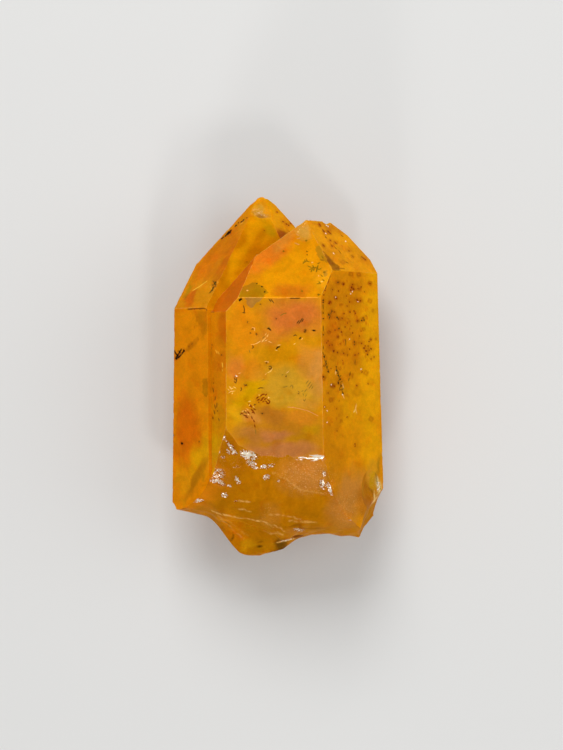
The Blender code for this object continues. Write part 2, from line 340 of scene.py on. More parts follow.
# Scratches, cracks and the branches of dendrites: face, colour, half-width, and lines of points.
STROKES = (
    ("front_prism_0", BLACK, 0.13, (
        ((239.8, 300.4), (241.4, 298.8)), ((267.6, 328.4), (269.2, 328.6), (270.8, 330.4)),
        ((312.4, 330.3), (315.4, 330.6)), ((276.4, 348.8), (277.6, 347.2), (279.6, 346.8)),
        ((299.6, 338.8), (300.8, 337.4)),
    )),
    ("front_prism_0", DARK, 0.085, (
        ((297, 323.4), (299.2, 320.2)), ((298.8, 323.8), (301, 320.6)), ((300.6, 321), (302.4, 318.2)),
        ((301.8, 322), (303.4, 319)),
        ((304.2, 330), (305.6, 329.8), (306, 331.4), (305, 332.4), (304, 331.6)),
        ((293.6, 336), (295.4, 334.8), (296.4, 335.6)), ((252.4, 345.6), (253.6, 347.2), (252.2, 348.4)),
        ((269, 366.4), (271, 366.2), (271.4, 368.4), (269.8, 369.4), (268.8, 368)),
        ((234.4, 378), (235.4, 380.6)), ((236.6, 378), (236.4, 382)), ((234.2, 381.6), (236, 383)),
        ((241, 387.6), (241.6, 389.4), (240.6, 391)), ((258, 388.6), (260.4, 387.8), (263.2, 388)),
        ((268.8, 299), (271, 301.8)), ((271, 299.4), (273.8, 302.8)),
        ((243.4, 305.6), (244.4, 309), (244.2, 312.4)), ((242.6, 312.6), (245, 312.9)),
        ((256.2, 333.4), (256.6, 334.8)), ((290, 298.3), (300, 298.3)),
    )),
    ("front_prism_0", DARK_RED, 0.1, (
        ((256.4, 398.6), (258.4, 396.8)), ((257.4, 400.4), (259.6, 399)),
        ((260.4, 396.4), (262.4, 394.4), (264.6, 394.2)), ((261.6, 398.6), (264.4, 397.4)),
        ((260.6, 400.6), (262.6, 399.6)), ((264.4, 399.8), (266.4, 398)), ((265.4, 395.4), (266.8, 394)),
        ((265.6, 401), (267.4, 402.6)), ((262.6, 402), (264, 401.2)),
        ((267.4, 399.6), (270, 401.4), (268.8, 403.8), (266.6, 403.4)), ((248.6, 403.6), (250.6, 405.4)),
        ((249.4, 406.4), (251.4, 405.8), (251.8, 407.6)), ((251, 409.4), (253, 410.8)),
        ((253.6, 408.8), (255.6, 409.8)), ((252, 412.8), (253.4, 411.4), (254.4, 413.6)),
        ((247.8, 411.8), (249.6, 413.6)), ((244.4, 411.4), (246.4, 413.4)), ((240.6, 413), (243, 413.8)),
        ((243.6, 415.2), (246.8, 415.8)), ((245.4, 416.8), (247.6, 417.6)), ((251.4, 416.4), (252.4, 419)),
        ((253.6, 420), (254.4, 422)), ((254.4, 424.6), (255.2, 427.2)),
    )),
    ("front_prism_0", GREY, 0.075, (
        ((306.2, 383.6), (308.4, 380.4)), ((307.4, 386.6), (310.6, 382)), ((309.2, 388.4), (312, 384.4)),
        ((311.4, 389), (313, 386.4)), ((304.6, 391.8), (306.6, 389.2)), ((303, 393.6), (303.6, 395.6)),
        ((301.6, 391.4), (303.4, 390.6)), ((305.4, 396.8), (306.6, 394.6)),
        ((303.4, 399.4), (304.4, 401.4), (305.6, 399)), ((244, 384.4), (245.6, 385.4), (244.8, 386.8)),
        ((283, 387.2), (285.4, 386.8), (287.4, 386.2)),
        ((290.4, 386.8), (291.4, 385.2), (292.8, 386.2), (292.6, 388.2)), ((282, 375.4), (283.2, 374.2)),
        ((262.4, 338.6), (264.6, 336.4)), ((249.2, 350), (250, 352.6)), ((262.6, 380.2), (263.8, 379.4)),
        ((268.2, 327), (269.8, 327.6)), ((243.4, 412.4), (247, 412.2)),
        ((280.4, 315.6), (283.4, 313.8), (286.6, 313)), ((298, 391), (299.4, 392.6)),
        ((255.4, 429.6), (255.8, 434)),
    )),
    ("front_prism_0", PALE, 0.055, (
        ((251, 344.6), (254, 344.4), (257.4, 343), (260.6, 341)), ((262, 342), (264, 339.6), (266, 337.4)),
        ((264.6, 341), (267.4, 339.8)), ((265, 335.4), (266.4, 333)), ((267, 337), (268.2, 334.6)),
        ((268.4, 341.4), (271.6, 342.6)), ((252, 327.4), (254.4, 328), (254.6, 330.6)),
        ((275.4, 350), (277.2, 350.6)), ((277.6, 345.2), (280.4, 344.8)), ((301.6, 339.6), (302.8, 338)),
        ((293.8, 344.4), (295.4, 343.2)), ((264.8, 361.6), (266.8, 361.2), (268.4, 362.6)),
        ((272.4, 368.4), (271, 371), (267.6, 372.8)), ((227.6, 389), (229.4, 390.6)),
        ((229.2, 386.4), (231, 389), (233, 388)), ((231.4, 391.4), (234.4, 391)),
        ((233.4, 386.6), (235.8, 388.2)), ((228.6, 393), (231, 391.2)), ((286.4, 373.2), (289, 371)),
        ((248.4, 401.6), (250.6, 401.2)), ((246.6, 408.6), (248.4, 410)), ((242, 411.6), (244, 410.6)),
        ((266.4, 373.4), (265.2, 374.8)), ((238.4, 373.6), (240.4, 372.8)),
    )),
    ("front_prism_0", PINK, 0.05, (
        ((287.5, 407), (294, 407.6), (300, 408.8), (307.5, 410.8), (312.5, 413), (318, 416)),
    )),
    ("front_tip_0", OLIVE, 0.1, (
        ((303, 262), (306, 261.2), (309.3, 261.6)), ((304.6, 260), (305.8, 261.8)),
        ((306.5, 259.4), (307.3, 261.3)), ((303, 263.5), (304.5, 261.8)), ((308, 266), (311, 267.2)),
        ((309.5, 269.6), (312.3, 267.8), (315.8, 267.4), (319, 269.6)), ((311, 271.8), (312.6, 268.4)),
        ((313.6, 270.8), (314.3, 268)), ((316.3, 272), (317, 268.6)), ((318, 265.4), (317.3, 268)),
        ((319, 269.6), (321, 268.4)), ((313, 265.8), (314, 267.4)), ((322, 256), (323.2, 258.2)),
        ((320.5, 259.6), (322.6, 260.2)), ((317.6, 263.8), (319.6, 262.6)), ((317.2, 283.8), (320.2, 283)),
        ((319, 281.6), (320.6, 283.6)), ((321, 275), (322.6, 276.4)), ((322.6, 279.4), (324.4, 280.8)),
    )),
    ("front_tip_0", PINK, 0.08, (
        ((296.5, 234), (299, 235.5)), ((297, 238.5), (300, 238)), ((295, 243), (299, 244.6)),
    )),
    ("front_tip_60", DARK_RED, 0.14, (
        ((319, 223.6), (320.6, 226.4)), ((322.6, 229.6), (324.4, 232)), ((327.6, 230.8), (330.8, 233.8)),
        ((322.8, 244.6), (324.4, 246.4)), ((335, 242.2), (336.4, 243.4)), ((325.4, 236.6), (326.4, 238)),
    )),
    ("front_tip_60", BROWN, 0.08, (
        ((361, 256.4), (364, 258.6), (365.6, 259.8)), ((351.8, 255.6), (353.4, 257)),
        ((338.7, 250.5), (341, 253.5)), ((335, 247.4), (336.6, 249)), ((346, 262), (348, 263)),
        ((341, 235), (343, 236.6)), ((334.4, 268.6), (339, 268.2), (344.6, 268.8)),
    )),
    ("front_prism_60", SOOT, 0.08, (
        ((323, 304.6), (323.3, 308.8)), ((323.2, 326), (323.3, 331)), ((323.3, 346), (323.5, 349)),
        ((330, 276), (328.4, 280.2)), ((326.4, 285.8), (325.2, 289)),
    )),
    ("front_prism_60", MOSS, 0.07, (
        ((336.6, 368.2), (337, 370)), ((338.4, 372.2), (337, 373.6)), ((339.4, 377), (341, 375.6)),
        ((339, 380.6), (337.6, 382)), ((340.4, 382.6), (342.2, 381.4)), ((340.6, 387), (339.2, 388.6)),
        ((342, 389.8), (343.6, 388.6)), ((342.2, 392), (343.4, 395)), ((322.8, 352), (323.8, 355)),
        ((325, 355), (324.4, 358.2)), ((324.6, 359.4), (325.6, 362)), ((326.6, 360.4), (325.8, 363)),
        ((325.6, 365), (327, 367.8)), ((327.8, 366), (326.8, 369)), ((328, 369), (329, 372.6)),
        ((331.8, 311), (330.6, 314.4)), ((330.4, 315.6), (329, 319.5)), ((337.4, 370), (338.4, 374)),
        ((338.8, 376), (339.4, 380)), ((340.3, 384), (341, 387.4)), ((341.3, 389), (342.4, 392)),
        ((345.6, 340), (345.8, 345)), ((355.2, 360), (355, 364)), ((350.4, 372), (349.4, 376)),
        ((349.2, 378), (348.6, 381)),
    )),
    ("front_prism_60", PALE, 0.1, (
        ((343, 394), (344, 398)), ((356.3, 405), (355.6, 409), (356.8, 413)),
        ((355.6, 409.6), (353.8, 412.2)), ((336, 371), (335.6, 374)), ((342.6, 384), (343.6, 388)),
    )),
    ("rear_tip_300", BLACK, 0.13, (
        ((221.6, 238.6), (223.8, 236.8)), ((225, 236), (226.4, 234.8)),
        ((227.8, 234), (229.6, 232), (231, 230.4)),
    )),
    ("rear_tip_300", MOSS, 0.11, (
        ((213, 281), (216, 284.6)), ((212, 284.4), (214.4, 287)),
        ((213.4, 287.8), (211.2, 291), (209.6, 293)), ((215.6, 286), (216.8, 288)),
        ((235, 226.6), (236.6, 225.2)), ((242, 221.4), (243.8, 220.2)),
    )),
    ("rear_tip_300", GOLD, 0.08, (
        ((193, 290.4), (200, 286), (207, 281)), ((217.2, 281), (218.2, 283)), ((210.4, 287), (212, 289)),
        ((226.6, 232), (228.6, 229.8)), ((240.6, 224), (243, 222.4)),
    )),
    ("rear_prism_300", BLACK, 0.14, (
        ((174.3, 350.6), (175.6, 353.4), (177.6, 355.4)), ((177.6, 355.4), (179.2, 352.8), (181.4, 349.2)),
        ((179, 357), (181.2, 354.4), (184, 350.8)), ((178.6, 351.2), (180.4, 352.8)),
        ((176.4, 356.4), (178.2, 357.8)),
    )),
    ("rear_prism_300", BROWN, 0.09, (
        ((188, 309.2), (193, 308.9), (198, 308.7), (203, 308.4), (205.4, 308.6), (207, 310.4)),
    )),
    ("front_prism_300", DARK, 0.09, (
        ((210.6, 346.4), (211, 349)), ((210.8, 352), (210.6, 361)), ((209.4, 366), (209.2, 372)),
        ((209.6, 311.6), (214, 312)), ((214.6, 405), (215.4, 408.6)), ((214, 410.6), (214.8, 414)),
        ((217, 403), (216.6, 407)), ((218.6, 418.6), (219.2, 421)), ((212.8, 388), (213.6, 392)),
        ((215.4, 396.6), (215, 400)),
    )),
    ("front_prism_300", GOLD, 0.09, (
        ((215.6, 350.4), (217, 353.2)), ((217.8, 351.6), (219.2, 354)), ((222.2, 363), (222.6, 367.2)),
        ((222.4, 369.6), (222.4, 371)),
    )),
)

# Etch pits and specks: face, colour, half-width, how strong the rusty halo is, and the places.
PITS = (
    ("front_prism_60", DARK_RED, 0.15, 0.4, (
        (352.5, 284.5), (351.5, 287.5), (350.6, 290.3), (353.5, 289), (330, 302), (329, 303.5), (357, 300),
        (360.4, 300.6), (342, 318), (357.5, 321), (341.5, 332), (338, 337), (361.6, 343.4), (368, 346),
        (371, 348.7), (367.6, 354.5), (366, 351), (371, 359), (355, 355), (333.6, 351), (337.5, 352.5),
        (336.6, 298.6), (356.7, 385.6), (334, 386), (370, 283.5), (343.5, 284), (371, 339.6), (364, 348),
        (350, 312),
    )),
    ("front_prism_60", DARK_RED, 0.11, 0.25, (
        (332.5, 289.6), (347, 306), (361, 287), (347.5, 323), (330, 331.5), (365, 346), (369.2, 350.2),
        (374, 357), (358.6, 353.6), (343.7, 353.3), (347.5, 355), (336.6, 408.7), (339, 401), (355, 444),
        (355, 446.5), (369, 341.5), (349.8, 374), (345, 340), (366, 316), (345, 327), (361, 331),
        (352.6, 333), (340, 344), (349.6, 349), (328, 341), (332, 345), (334.5, 312), (349.5, 302),
        (364.4, 292), (346.5, 296), (338.5, 291), (355.5, 313.5), (329.6, 345.6), (358, 288.6), (354, 311),
        (344, 313.6), (359.4, 336), (351, 326), (335, 330), (326.4, 343), (342.6, 360.4), (362, 372),
        (368, 384), (328, 393), (337, 431), (347, 417), (331, 368.4),
    )),
    ("front_prism_60", SOOT, 0.12, 0.4, (
        (323.2, 300.4), (323.2, 302.4), (323.1, 313), (323.3, 318.6), (323.3, 334.6), (323.8, 366),
        (323.4, 377),
    )),
    ("front_prism_60", DARK_RED, 0.12, 0.4, (
        (330.2, 275), (327.8, 281.6), (326.4, 280.6), (325, 290.4), (323.6, 295),
    )),
    ("front_prism_60", MOSS, 0.14, 0.4, (
        (337, 317.5), (338.4, 319), (363, 318), (364, 320), (339, 328.5), (354.4, 342), (354.4, 344.6),
        (338, 282.5), (361.5, 320.6), (332, 311), (329.6, 317.4), (328.8, 314.8),
    )),
    ("front_prism_60", SOOT, 0.13, 0.3, (
        (336.4, 370.6), (338.2, 375.4), (340.4, 379.2), (338.4, 383), (341.6, 385.8), (340, 390),
        (343, 393.2), (324, 356.6), (326.2, 364), (328, 371.6), (336.2, 366.8),
    )),
    # White specks: painted glints.
    ("front_prism_60", GLINT_WHITE, 0.085, 0.0, (
        (350.6, 293.8), (335.6, 297.2), (349.4, 339.2), (357.8, 301.6), (331.2, 384.6), (324.7, 407),
        (327, 410.6), (327, 422.5), (352.2, 291.4), (361, 369), (342.4, 394.6),
    )),
    # White specks: painted glints.
    ("front_tip_60", GLINT_WHITE, 0.09, 0.0, (
        (325.6, 233.4), (333.6, 253.4), (345.6, 241.4), (326.4, 225.6), (328, 226.4),
    )),
    ("front_tip_60", DARK_RED, 0.12, 0.5, (
        (328.6, 222.6), (365.4, 259.8), (332, 246), (349, 251), (330.4, 240.4),
    )),
    ("front_tip_0", BLACK, 0.12, 0.0, (
        (306.9, 251.6), (307.2, 254.8), (264.6, 292), (262, 286.6), (257, 283.4),
    )),
    ("front_tip_0", OLIVE, 0.2, 0.2, (
        (283.5, 251.2), (306.3, 240.6), (302, 291), (324.4, 272.4), (318.6, 294.6),
    )),
    ("front_tip_0", PALE, 0.1, 0.0, (
        (246.4, 272.8), (245.4, 275.6), (244.6, 278.6), (243.4, 281.4), (242.4, 284.4), (241.6, 288.4),
        (247.2, 290.6), (322, 281.6), (318.6, 276), (312, 262.6), (299.6, 229.6), (302.6, 226.6),
        (304.6, 224), (298, 232),
    )),
    ("front_prism_0", DARK, 0.11, 0.2, (
        (260.6, 304.2), (276.3, 318.6), (252.8, 329), (235.2, 376.6), (246.4, 385), (247.6, 322),
        (262.4, 413.6), (250.4, 333), (286, 376.4), (298.6, 393.6), (247.4, 417.6), (254.8, 404.6),
        (258.8, 402.4), (240.6, 414.4),
    )),
    ("front_prism_0", BROWN, 0.16, 0.4, ((266.5, 363), (305, 331.2), (245.4, 385.6), (256.4, 334))),
    ("front_prism_0", GLINT_WHITE, 0.15, 0.0, ((236.5, 376),)),
    ("front_prism_0", BLACK, 0.2, 0.0, ((239.6, 300.2), (240.8, 299.2))),
    ("front_prism_0", PALE, 0.1, 0.0, (
        (249.6, 405), (248.4, 414.6), (245.4, 410.8), (253.6, 406.6), (268.6, 397.6), (259.4, 395),
        (262.6, 341), (232.6, 393),
    )),
    ("rear_tip_300", BLACK, 0.3, 0.3, ((229.2, 232.4), (227.6, 234))),
    ("rear_tip_300", BLACK, 0.12, 0.2, (
        (230.6, 230.6), (225.6, 236.4), (222, 238.6), (236, 225.4), (238.6, 222.8), (241.2, 222),
        (243.6, 219.6), (247, 217.8),
    )),
    ("rear_tip_300", MOSS, 0.17, 0.2, ((214.4, 284.2), (213, 287.6), (215.6, 282.2), (212.2, 290.4))),
    ("rear_tip_0", BROWN, 0.11, 0.2, ((264.4, 230.6), (247, 262), (236, 283))),
    ("rear_tip_60", DARK_RED, 0.13, 0.4, (
        (286.4, 224), (288.6, 225.4), (283, 221.6), (290.6, 223.4), (277, 212),
    )),
    ("rear_prism_300", BLACK, 0.2, 0.4, (
        (184, 350.7), (177.6, 355.4), (178.8, 357), (182, 443.4), (173.2, 435.4),
    )),
    ("rear_prism_300", BLACK, 0.27, 0.4, ((176.3, 358.4),)),
    ("rear_prism_300", BROWN, 0.12, 0.2, ((189, 346.7), (199.3, 441.6), (192, 344))),
    ("front_prism_300", BROWN, 0.12, 0.2, (
        (221.6, 355), (212, 345), (213.6, 383), (217.6, 411), (213, 418),
    )),
)

# What a rusty halo and a ring leave of the colour under them.
HALO_TINT, RING_TINT = np.array((0.66, 0.42, 0.5)), np.array((0.56, 0.34, 0.4))
HALO_REACH = 0.55  # past a pit's rim
PIT_RIM, STROKE_RIM = (1.08, 0.9), (1.35, 0.7)  # where their colour begins and is full, in half-widths
RING_PLACE, RING_WIDTH = 0.75, 0.34  # of the rusty line, as shares of a ring's radius
PIT_ROWS = ((1.12, 10), (0.86, 10), (0.45, 5))  # mesh points round a pit: share of its size, count
PIT_UNEVEN, RING_UNEVEN = 0.22, 0.12  # how far from round they are
PIT_CLEAR, STROKE_CLEAR = 1.3, 1.7  # how far other mesh points keep away, in half-widths
PIT_DEPTH, STROKE_DEPTH = 0.5, 0.35  # as a share of a mark's half-width
PIT_STEEPNESS = 0.7  # below 1, the floor is broad and the wall is steep
PIT_LENGTHS, PIT_SHAPES = (0.85, 1.25), (1.0, 1.4)  # in half-widths, and length over width
STROKE_STEP, STROKE_ROWS = 0.22, (-1.5, -0.6, 0.6, 1.5)  # rows of points beside the line
STAIN_STEP, STAIN_ROWS = 0.3, (-0.045, 0.045)
STAIN_RAGGED, STAIN_CLEAR = 0.14, 0.12

# Pits scattered over the faces that look down, which the photo doesn't show.
HIDDEN_PITS_PER_100 = 4.0  # per 100 square millimetres
HIDDEN_COLOURS = (DARK_RED, DARK, DARK, BLACK)
HIDDEN_SIZES, HIDDEN_SHAPE, HIDDEN_HALO = (0.15, 0.45), 1.6, 0.5
HIDDEN_TURN, HIDDEN_TURN_SPREAD = 90, 20
SEED = 7

# ------------------------------------------------------------------ areas of the break and the faces
# Rough, glittering places on the break, where glints are also painted: centre, half-widths, turn, strength.
GLINTS = (
    ((-5.3, -14.3), (1.5, 0.8), -15, 1.0),
    ((-4.7, -16.0), (1.2, 0.6), -40, 0.7),
    ((-2.0, -16.4), (1.3, 0.4), 10, 0.75),
    ((-2.1, -18.4), (0.55, 0.5), 0, 0.8),
    ((0.0, -19.2), (0.25, 0.2), 0, 0.8),
    ((-9.9, -11.2), (0.5, 0.45), 0, 0.7),
    ((-8.5, -13.0), (1.4, 0.35), -52, 0.8),
    ((-7.9, -13.9), (0.6, 0.4), -50, 1.0),
    ((-10.9, -13.8), (0.35, 0.55), 0, 0.6),
    ((-9.0, -13.8), (0.25, 0.6), 25, 0.6),
    ((-10.0, -14.8), (0.4, 0.2), 0, 0.6),
    ((-11.8, -15.2), (0.4, 0.3), 0, 0.7),
    ((-12.4, -16.3), (0.2, 0.8), 0, 0.5),
    ((-10.9, -17.9), (1.25, 1.1), 0, 0.55),
    ((-11.2, -19.3), (1.2, 0.35), -12, 1.0),
    ((-10.2, -19.8), (0.6, 0.3), 0, 1.0),
    ((-8.9, -20.1), (0.35, 0.2), -20, 0.9),
    ((-7.4, -19.0), (0.35, 0.8), 30, 0.8),
    ((-9.8, -21.8), (0.55, 0.5), 0, 0.75),
    ((-15.0, -21.4), (0.8, 0.2), 20, 0.6),
    ((-14.8, -22.9), (1.2, 0.35), 0, 0.8),
    ((-17.2, -23.8), (0.6, 0.2), 0, 0.9),
    ((-7.8, -23.0), (0.2, 0.15), 0, 0.8),
    ((-7.5, -16.5), (0.8, 0.2), 0, 0.35),
    ((8.3, -17.8), (0.35, 0.5), 0, 0.85),
    ((8.0, -19.7), (0.5, 0.9), 10, 0.7),
    ((9.3, -20.5), (0.35, 1.3), 20, 0.75),
    ((14.0, -26.1), (1.1, 0.25), 22, 0.7),
    ((3.8, -28.4), (1.1, 0.35), -15, 0.55),
    ((1.6, -30.4), (1.3, 0.15), 12, 0.9),
    ((18.7, -20.3), (0.3, 1.3), -6, 0.5),
    ((-3.3, 30.5), (1.9, 0.8), -24, 0.15),
)
# Bright strands of painted glints that run across, at and near the lip under the front prism face.
GLINT_STRANDS = (
    ((5.6, -14.85), (2.8, 0.26), 3, 0.7),
    ((6.9, -14.8), (1.5, 0.6), 2, 1.0),
    ((-5.5, -14.3), (1.2, 0.5), 0, 0.75),
)
# Grainy, hazy areas with fine pale specks: pale grains and painted glitter.
HAZE = (
    ((5.2, -18.2), (5.0, 3.6), 0, 1.0),
    ((12.8, -24.4), (3.2, 3.6), 0, 0.8),
    ((9.0, -19.6), (1.2, 2.8), 12, 1.0),
    ((-1.8, -25.6), (1.6, 2.4), 0, 0.6),
    ((-9.6, -16.0), (3.4, 3.4), 0, 0.35),
    ((-2.6, -14.6), (6.0, 1.2), 0, 0.6),
    ((-3.2, 30.4), (1.9, 1.3), -24, 0.45),
    ((4.2, 26.8), (1.5, 1.2), 0, 0.7),
    ((17.6, -21.0), (1.6, 3.4), 0, 0.6),
)
# Where a border between surfaces is worn smooth: centre, half-widths, turn, strength.
SOFT_BORDERS = (
    ((12.0, -22.0), (5.4, 6.6), 0, 1.0),
    ((16.6, -20.6), (2.4, 5.4), 0, 1.0),
    ((-14.6, -21.0), (3.6, 4.6), 0, 1.0),
    ((-3.2, 31.0), (3.0, 2.6), 0, 1.0),
)
# Parts of faces with soft rusty spots and streaks: face, centre, half-widths, strength.
RUSTY = (
    ("front_prism_60", (13.0, 8.0), (5.0, 11.0), 1.0),
    ("front_prism_60", (11.6, -6.0), (3.4, 8.0), 0.6),
    ("front_tip_60", (12.4, 24.4), (4.4, 3.8), 0.8),
    ("rear_tip_60", (2.0, 28.0), (3.0, 3.0), 0.4),
    ("rear_prism_300", (-14.6, 8.0), (3.0, 5.0), 0.5),
    ("front_prism_300", (-10.8, -2.0), (2.0, 9.0), 0.6),
)
# Thin curved ridges on the break, each with a painted highlight along it: points along each, then its
# strength.
RIDGES = (
    (((-12.2, -25.1), (-9.4, -25.7), (-7.0, -26.2), (-4.6, -26.4), (-2.7, -26.8), (-0.4, -27.6)), 1.0),
    (((-7.2, -24.3), (-6.0, -24.4), (-5.0, -24.8)), 0.9),
    (((-7.2, -22.8), (-5.3, -23.1)), 0.9),
    (((-1.0, -17.5), (1.4, -18.6), (4.2, -20.8), (9.4, -21.6)), 0.5),
    (((-0.2, -30.9), (1.2, -30.6), (3.0, -30.1)), 0.9),
    (((-1.5, -25.4), (1.2, -25.4), (4.2, -26.3)), 0.6),
    (((2.0, -26.5), (7.0, -26.9)), 0.6),
    (((-11.1, -25.8), (-9.9, -27.0), (-8.0, -28.9), (-6.5, -30.2)), 0.3),
    (((-9.6, -26.6), (-7.4, -28.4), (-5.6, -29.6)), 0.2),
    (((-2.2, -27.2), (-1.0, -27.8), (0.4, -27.9), (1.2, -28.5)), 0.7),
    (((-2.6, -28.6), (-1.4, -29.1), (-0.2, -28.8), (0.8, -29.3)), 0.6),
    (((-4.9, 30.9), (-3.9, 31.1), (-2.9, 30.4)), 0.5),
    (((-4.2, 30.2), (-3.2, 30.4), (-2.0, 29.6)), 0.5),
)

AREA_FADE = (0.5, 1.4)  # where an area begins and ends to fade, as a share of its half-widths
AREA_HEIGHTS = (6.0, 9.0)  # areas fade out between these heights, so that none shows on the underside
CLOUD_FADE, RUSTY_FADE = (0.45, 1.35), (0.5, 1.2)
CLOUD_BEND, CLOUD_BEND_SIZE = 0.7, 3.2  # how far the borders of clouds wander, and over what length
GLINT_REACH, STRAND_REACH = 0.3, 0.6  # how far they cross the break's border onto a face

# ------------------------------------------------------------------ relief
EDGE_SEEN, EDGE_ROUNDS = 1.0, 6  # the farthest distance to an edge, and the steps it's found in
EDGE_FADE = 0.5  # the face's relief fades out this near an edge
STRIATION_PITCH, STRIATION_DEPTH = 0.9, 0.012
STRIATION_BEND, STRIATION_BEND_SIZE = 2.0, 4.0  # the bend is in radians
WAVE_DEPTH, WAVE_SIZE, WAVE_STRETCH = 0.05, 5.0, (1.0, 0.6, 1.0)
CHIP_REACH, CHIP_DEPTH, EDGE_ROUNDING = 0.30, 0.07, 0.03
CHIP_SIZE, CHIP_START = 1.3, (0.1, 1.0)  # where its noise begins and ends to cut a chip
HACKLE_DEPTH, HACKLE_SIZE, HACKLE_STRETCH = 0.20, 1.6, (1.0, 0.7, 1.0)
GRAIN_DEPTH, GRAIN_SIZE = 0.05, 0.6
ROUGH_EVEN, ROUGH_GLINT, ROUGH_DEEP = 0.25, 0.9, 0.35  # everywhere, where it glitters, and low down
DEEP = (15.0, 12.0)  # the heights between which the break gets rougher downwards
RIDGE_REACH, RIDGE_DEPTH, RIDGE_WOBBLE, RIDGE_WOBBLE_SIZE = 1.3, 0.10, 0.12, 1.1
RIDGE_STEP, RIDGE_LINE = (0.06, -0.22), (0.26, 0.05)  # from level to cut in, and from dull to bright
RIB_START, RIB_PITCH, RIB_DEPTH = (-9.0, -12.0, 28.0), 2.1, 0.03
RIB_SPREAD, RIB_BEND, RIB_BEND_SIZE, RIB_PATCH_SIZE = (1.0, 0.8, 0.5), 1.6, 6.0, 7.0
BREAK_SHARE, BREAK_ROUNDS = 0.55, 5  # how the break's surface is smoothed
SOFT_SHARE, SOFT_ROUNDS = 0.55, 30  # how its soft borders are
SOFT_REACH = (1.0, 0.4)  # how far a soft border reaches onto a face

# ------------------------------------------------------------------ material
# A tint multiplies the colour under it, and a pale colour covers it.
WARM_TINT, RUST_TINT = (255, 226, 120), (230, 178, 176)
# Partly painted light: shade in cracks and gaps, rim light, ridge highlights and the glow round glints.
CRACK_AND_SHADE_TINT, GAP_SHADE_TINT = (176, 128, 110), (196, 158, 140)
WORN_PALE_AND_RIM_LIGHT, CRUSHED_PALE, RIDGE_HIGHLIGHT_PALE = (234, 170, 92), (232, 172, 100), (236, 176, 90)
GRAIN_AND_GLITTER_PALE, DUST_AND_GLINT_GLOW_PALE = (238, 184, 120), (228, 172, 126)
EVEN, FLOWING = (1.0, 1.0, 1.0), (1.0, 1.0, 0.5)  # how noise is stretched
QUARTZ_IOR = 1.544
BUMP_HEIGHT = 0.42

# ------------------------------------------------------------------ camera and light, in metres
CAMERA_HEIGHT = 0.55  # above the front prism face
VIEW_LENGTH = 0.135  # seen along the image's long side, at the front prism face
SENSOR = 36.0
CAMERA_ASIDE = (0.0006, 0.0001)  # from the middle of the box
WORLD_STRENGTH = 0.42
FLOOR_SIZE = 3.0
LIGHT_AIM = (0.0, 0.0, 0.015)
LIGHTS = (  # name, place, size, power in watts
    ("key", (-0.10, 0.44, 0.52), 0.35, 2.9),
    ("side", (0.45, 0.05, 0.42), 0.40, 0.7),
    ("front", (-0.12, -0.56, 0.30), 0.10, 0.7),
    ("spark", (0.14, -0.42, 0.46), 0.08, 0.6),
)


# ================================================================== reading the solid
def read_solid():
    """The CAD solid's corners in millimetres, welded, and its triangles."""
    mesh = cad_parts[NODE].data
    points = np.empty(len(mesh.vertices) * 3)
    mesh.vertices.foreach_get("co", points)
    points = points.reshape(-1, 3) / MM
    mesh.calc_loop_triangles()
    corners = np.empty(len(mesh.loop_triangles) * 3, int)
    mesh.loop_triangles.foreach_get("vertices", corners)
    _, first, index = np.unique(np.round(points, 3), axis=0, return_index=True, return_inverse=True)
    triangles = index.reshape(-1)[corners.reshape(-1, 3)]
    whole = [len(set(t)) == 3 for t in triangles.tolist()]
    return points[first], triangles[whole]


class Plane:
    """One flat crystal face: its outward normal, its offset, two axes in it, and its name."""

    def __init__(self, normal, offset, centre):
        self.normal, self.offset = normal, offset
        azimuth = round(math.degrees(math.atan2(normal[0], normal[2])) / PRISM_ANGLE) * PRISM_ANGLE % 360
        kind = "tip" if normal[1] > TIP_LEAN else "prism"
        # The front point's faces lie farther towards +X and +Z than the same faces of the rear one.
        front = centre[0] + centre[2] > FRONT_LIMIT + FRONT_SHIFT * (normal[0] + normal[2])
        self.name = f"{'front' if front else 'rear'}_{kind}_{azimuth}"
        self.up = normal[2] > LOOKS_UP
        self.step = FINE if self.up else COARSE
        along = np.array((0.0, 1.0, 0.0)) - normal * normal[1]
        self.v = along / np.linalg.norm(along)
        self.u = np.cross(self.v, normal)

    def flat(self, points):
        """The points in the face's own two axes."""
        return np.stack((points @ self.u, points @ self.v), -1)

    def solid(self, flat):
        """Spots given in the face's own axes, as points."""
        return flat[..., :1] * self.u + flat[..., 1:] * self.v + self.normal * self.offset

    def drawn(self, points):
        """The axes marks are drawn in: from above on a face that looks up, its own on another."""
        return points[:, :2] if self.up else self.flat(points)

    def undrawn(self, spots):
        """Spots given in those axes, in the face's own axes."""
        if not self.up:
            return spots
        z = (self.offset - spots @ self.normal[:2]) / self.normal[2]
        return self.flat(np.column_stack((spots, z)))


def find_planes(points, triangles):
    """The flat crystal faces, and the number of each triangle's face, or BROKEN."""
    a, b, c = points[triangles].transpose(1, 0, 2)
    cross = np.cross(b - a, c - a)
    area = np.linalg.norm(cross, axis=1) / 2
    normal = cross / np.maximum(2 * area, NOTHING)[:, None]
    middle = (a + b + c) / 3
    surface = np.full(len(triangles), BROKEN)
    planes = []
    for t in np.argsort(-area):
        if surface[t] != BROKEN or area[t] < SMALLEST_START:
            continue
        off = np.abs((points[triangles] - a[t]) @ normal[t]).max(axis=1)
        same = (normal @ normal[t] > SAME_WAY) | (area < SLIVER)
        fit = (off < PLANE_FIT) & same & (surface == BROKEN)
        if area[fit].sum() < SMALLEST_FACE:
            continue
        surface[fit] = len(planes)
        centre = (middle[fit] * area[fit, None]).sum(axis=0) / area[fit].sum()
        planes.append(Plane(normal[t], float(a[t] @ normal[t]), centre))
    return planes, surface


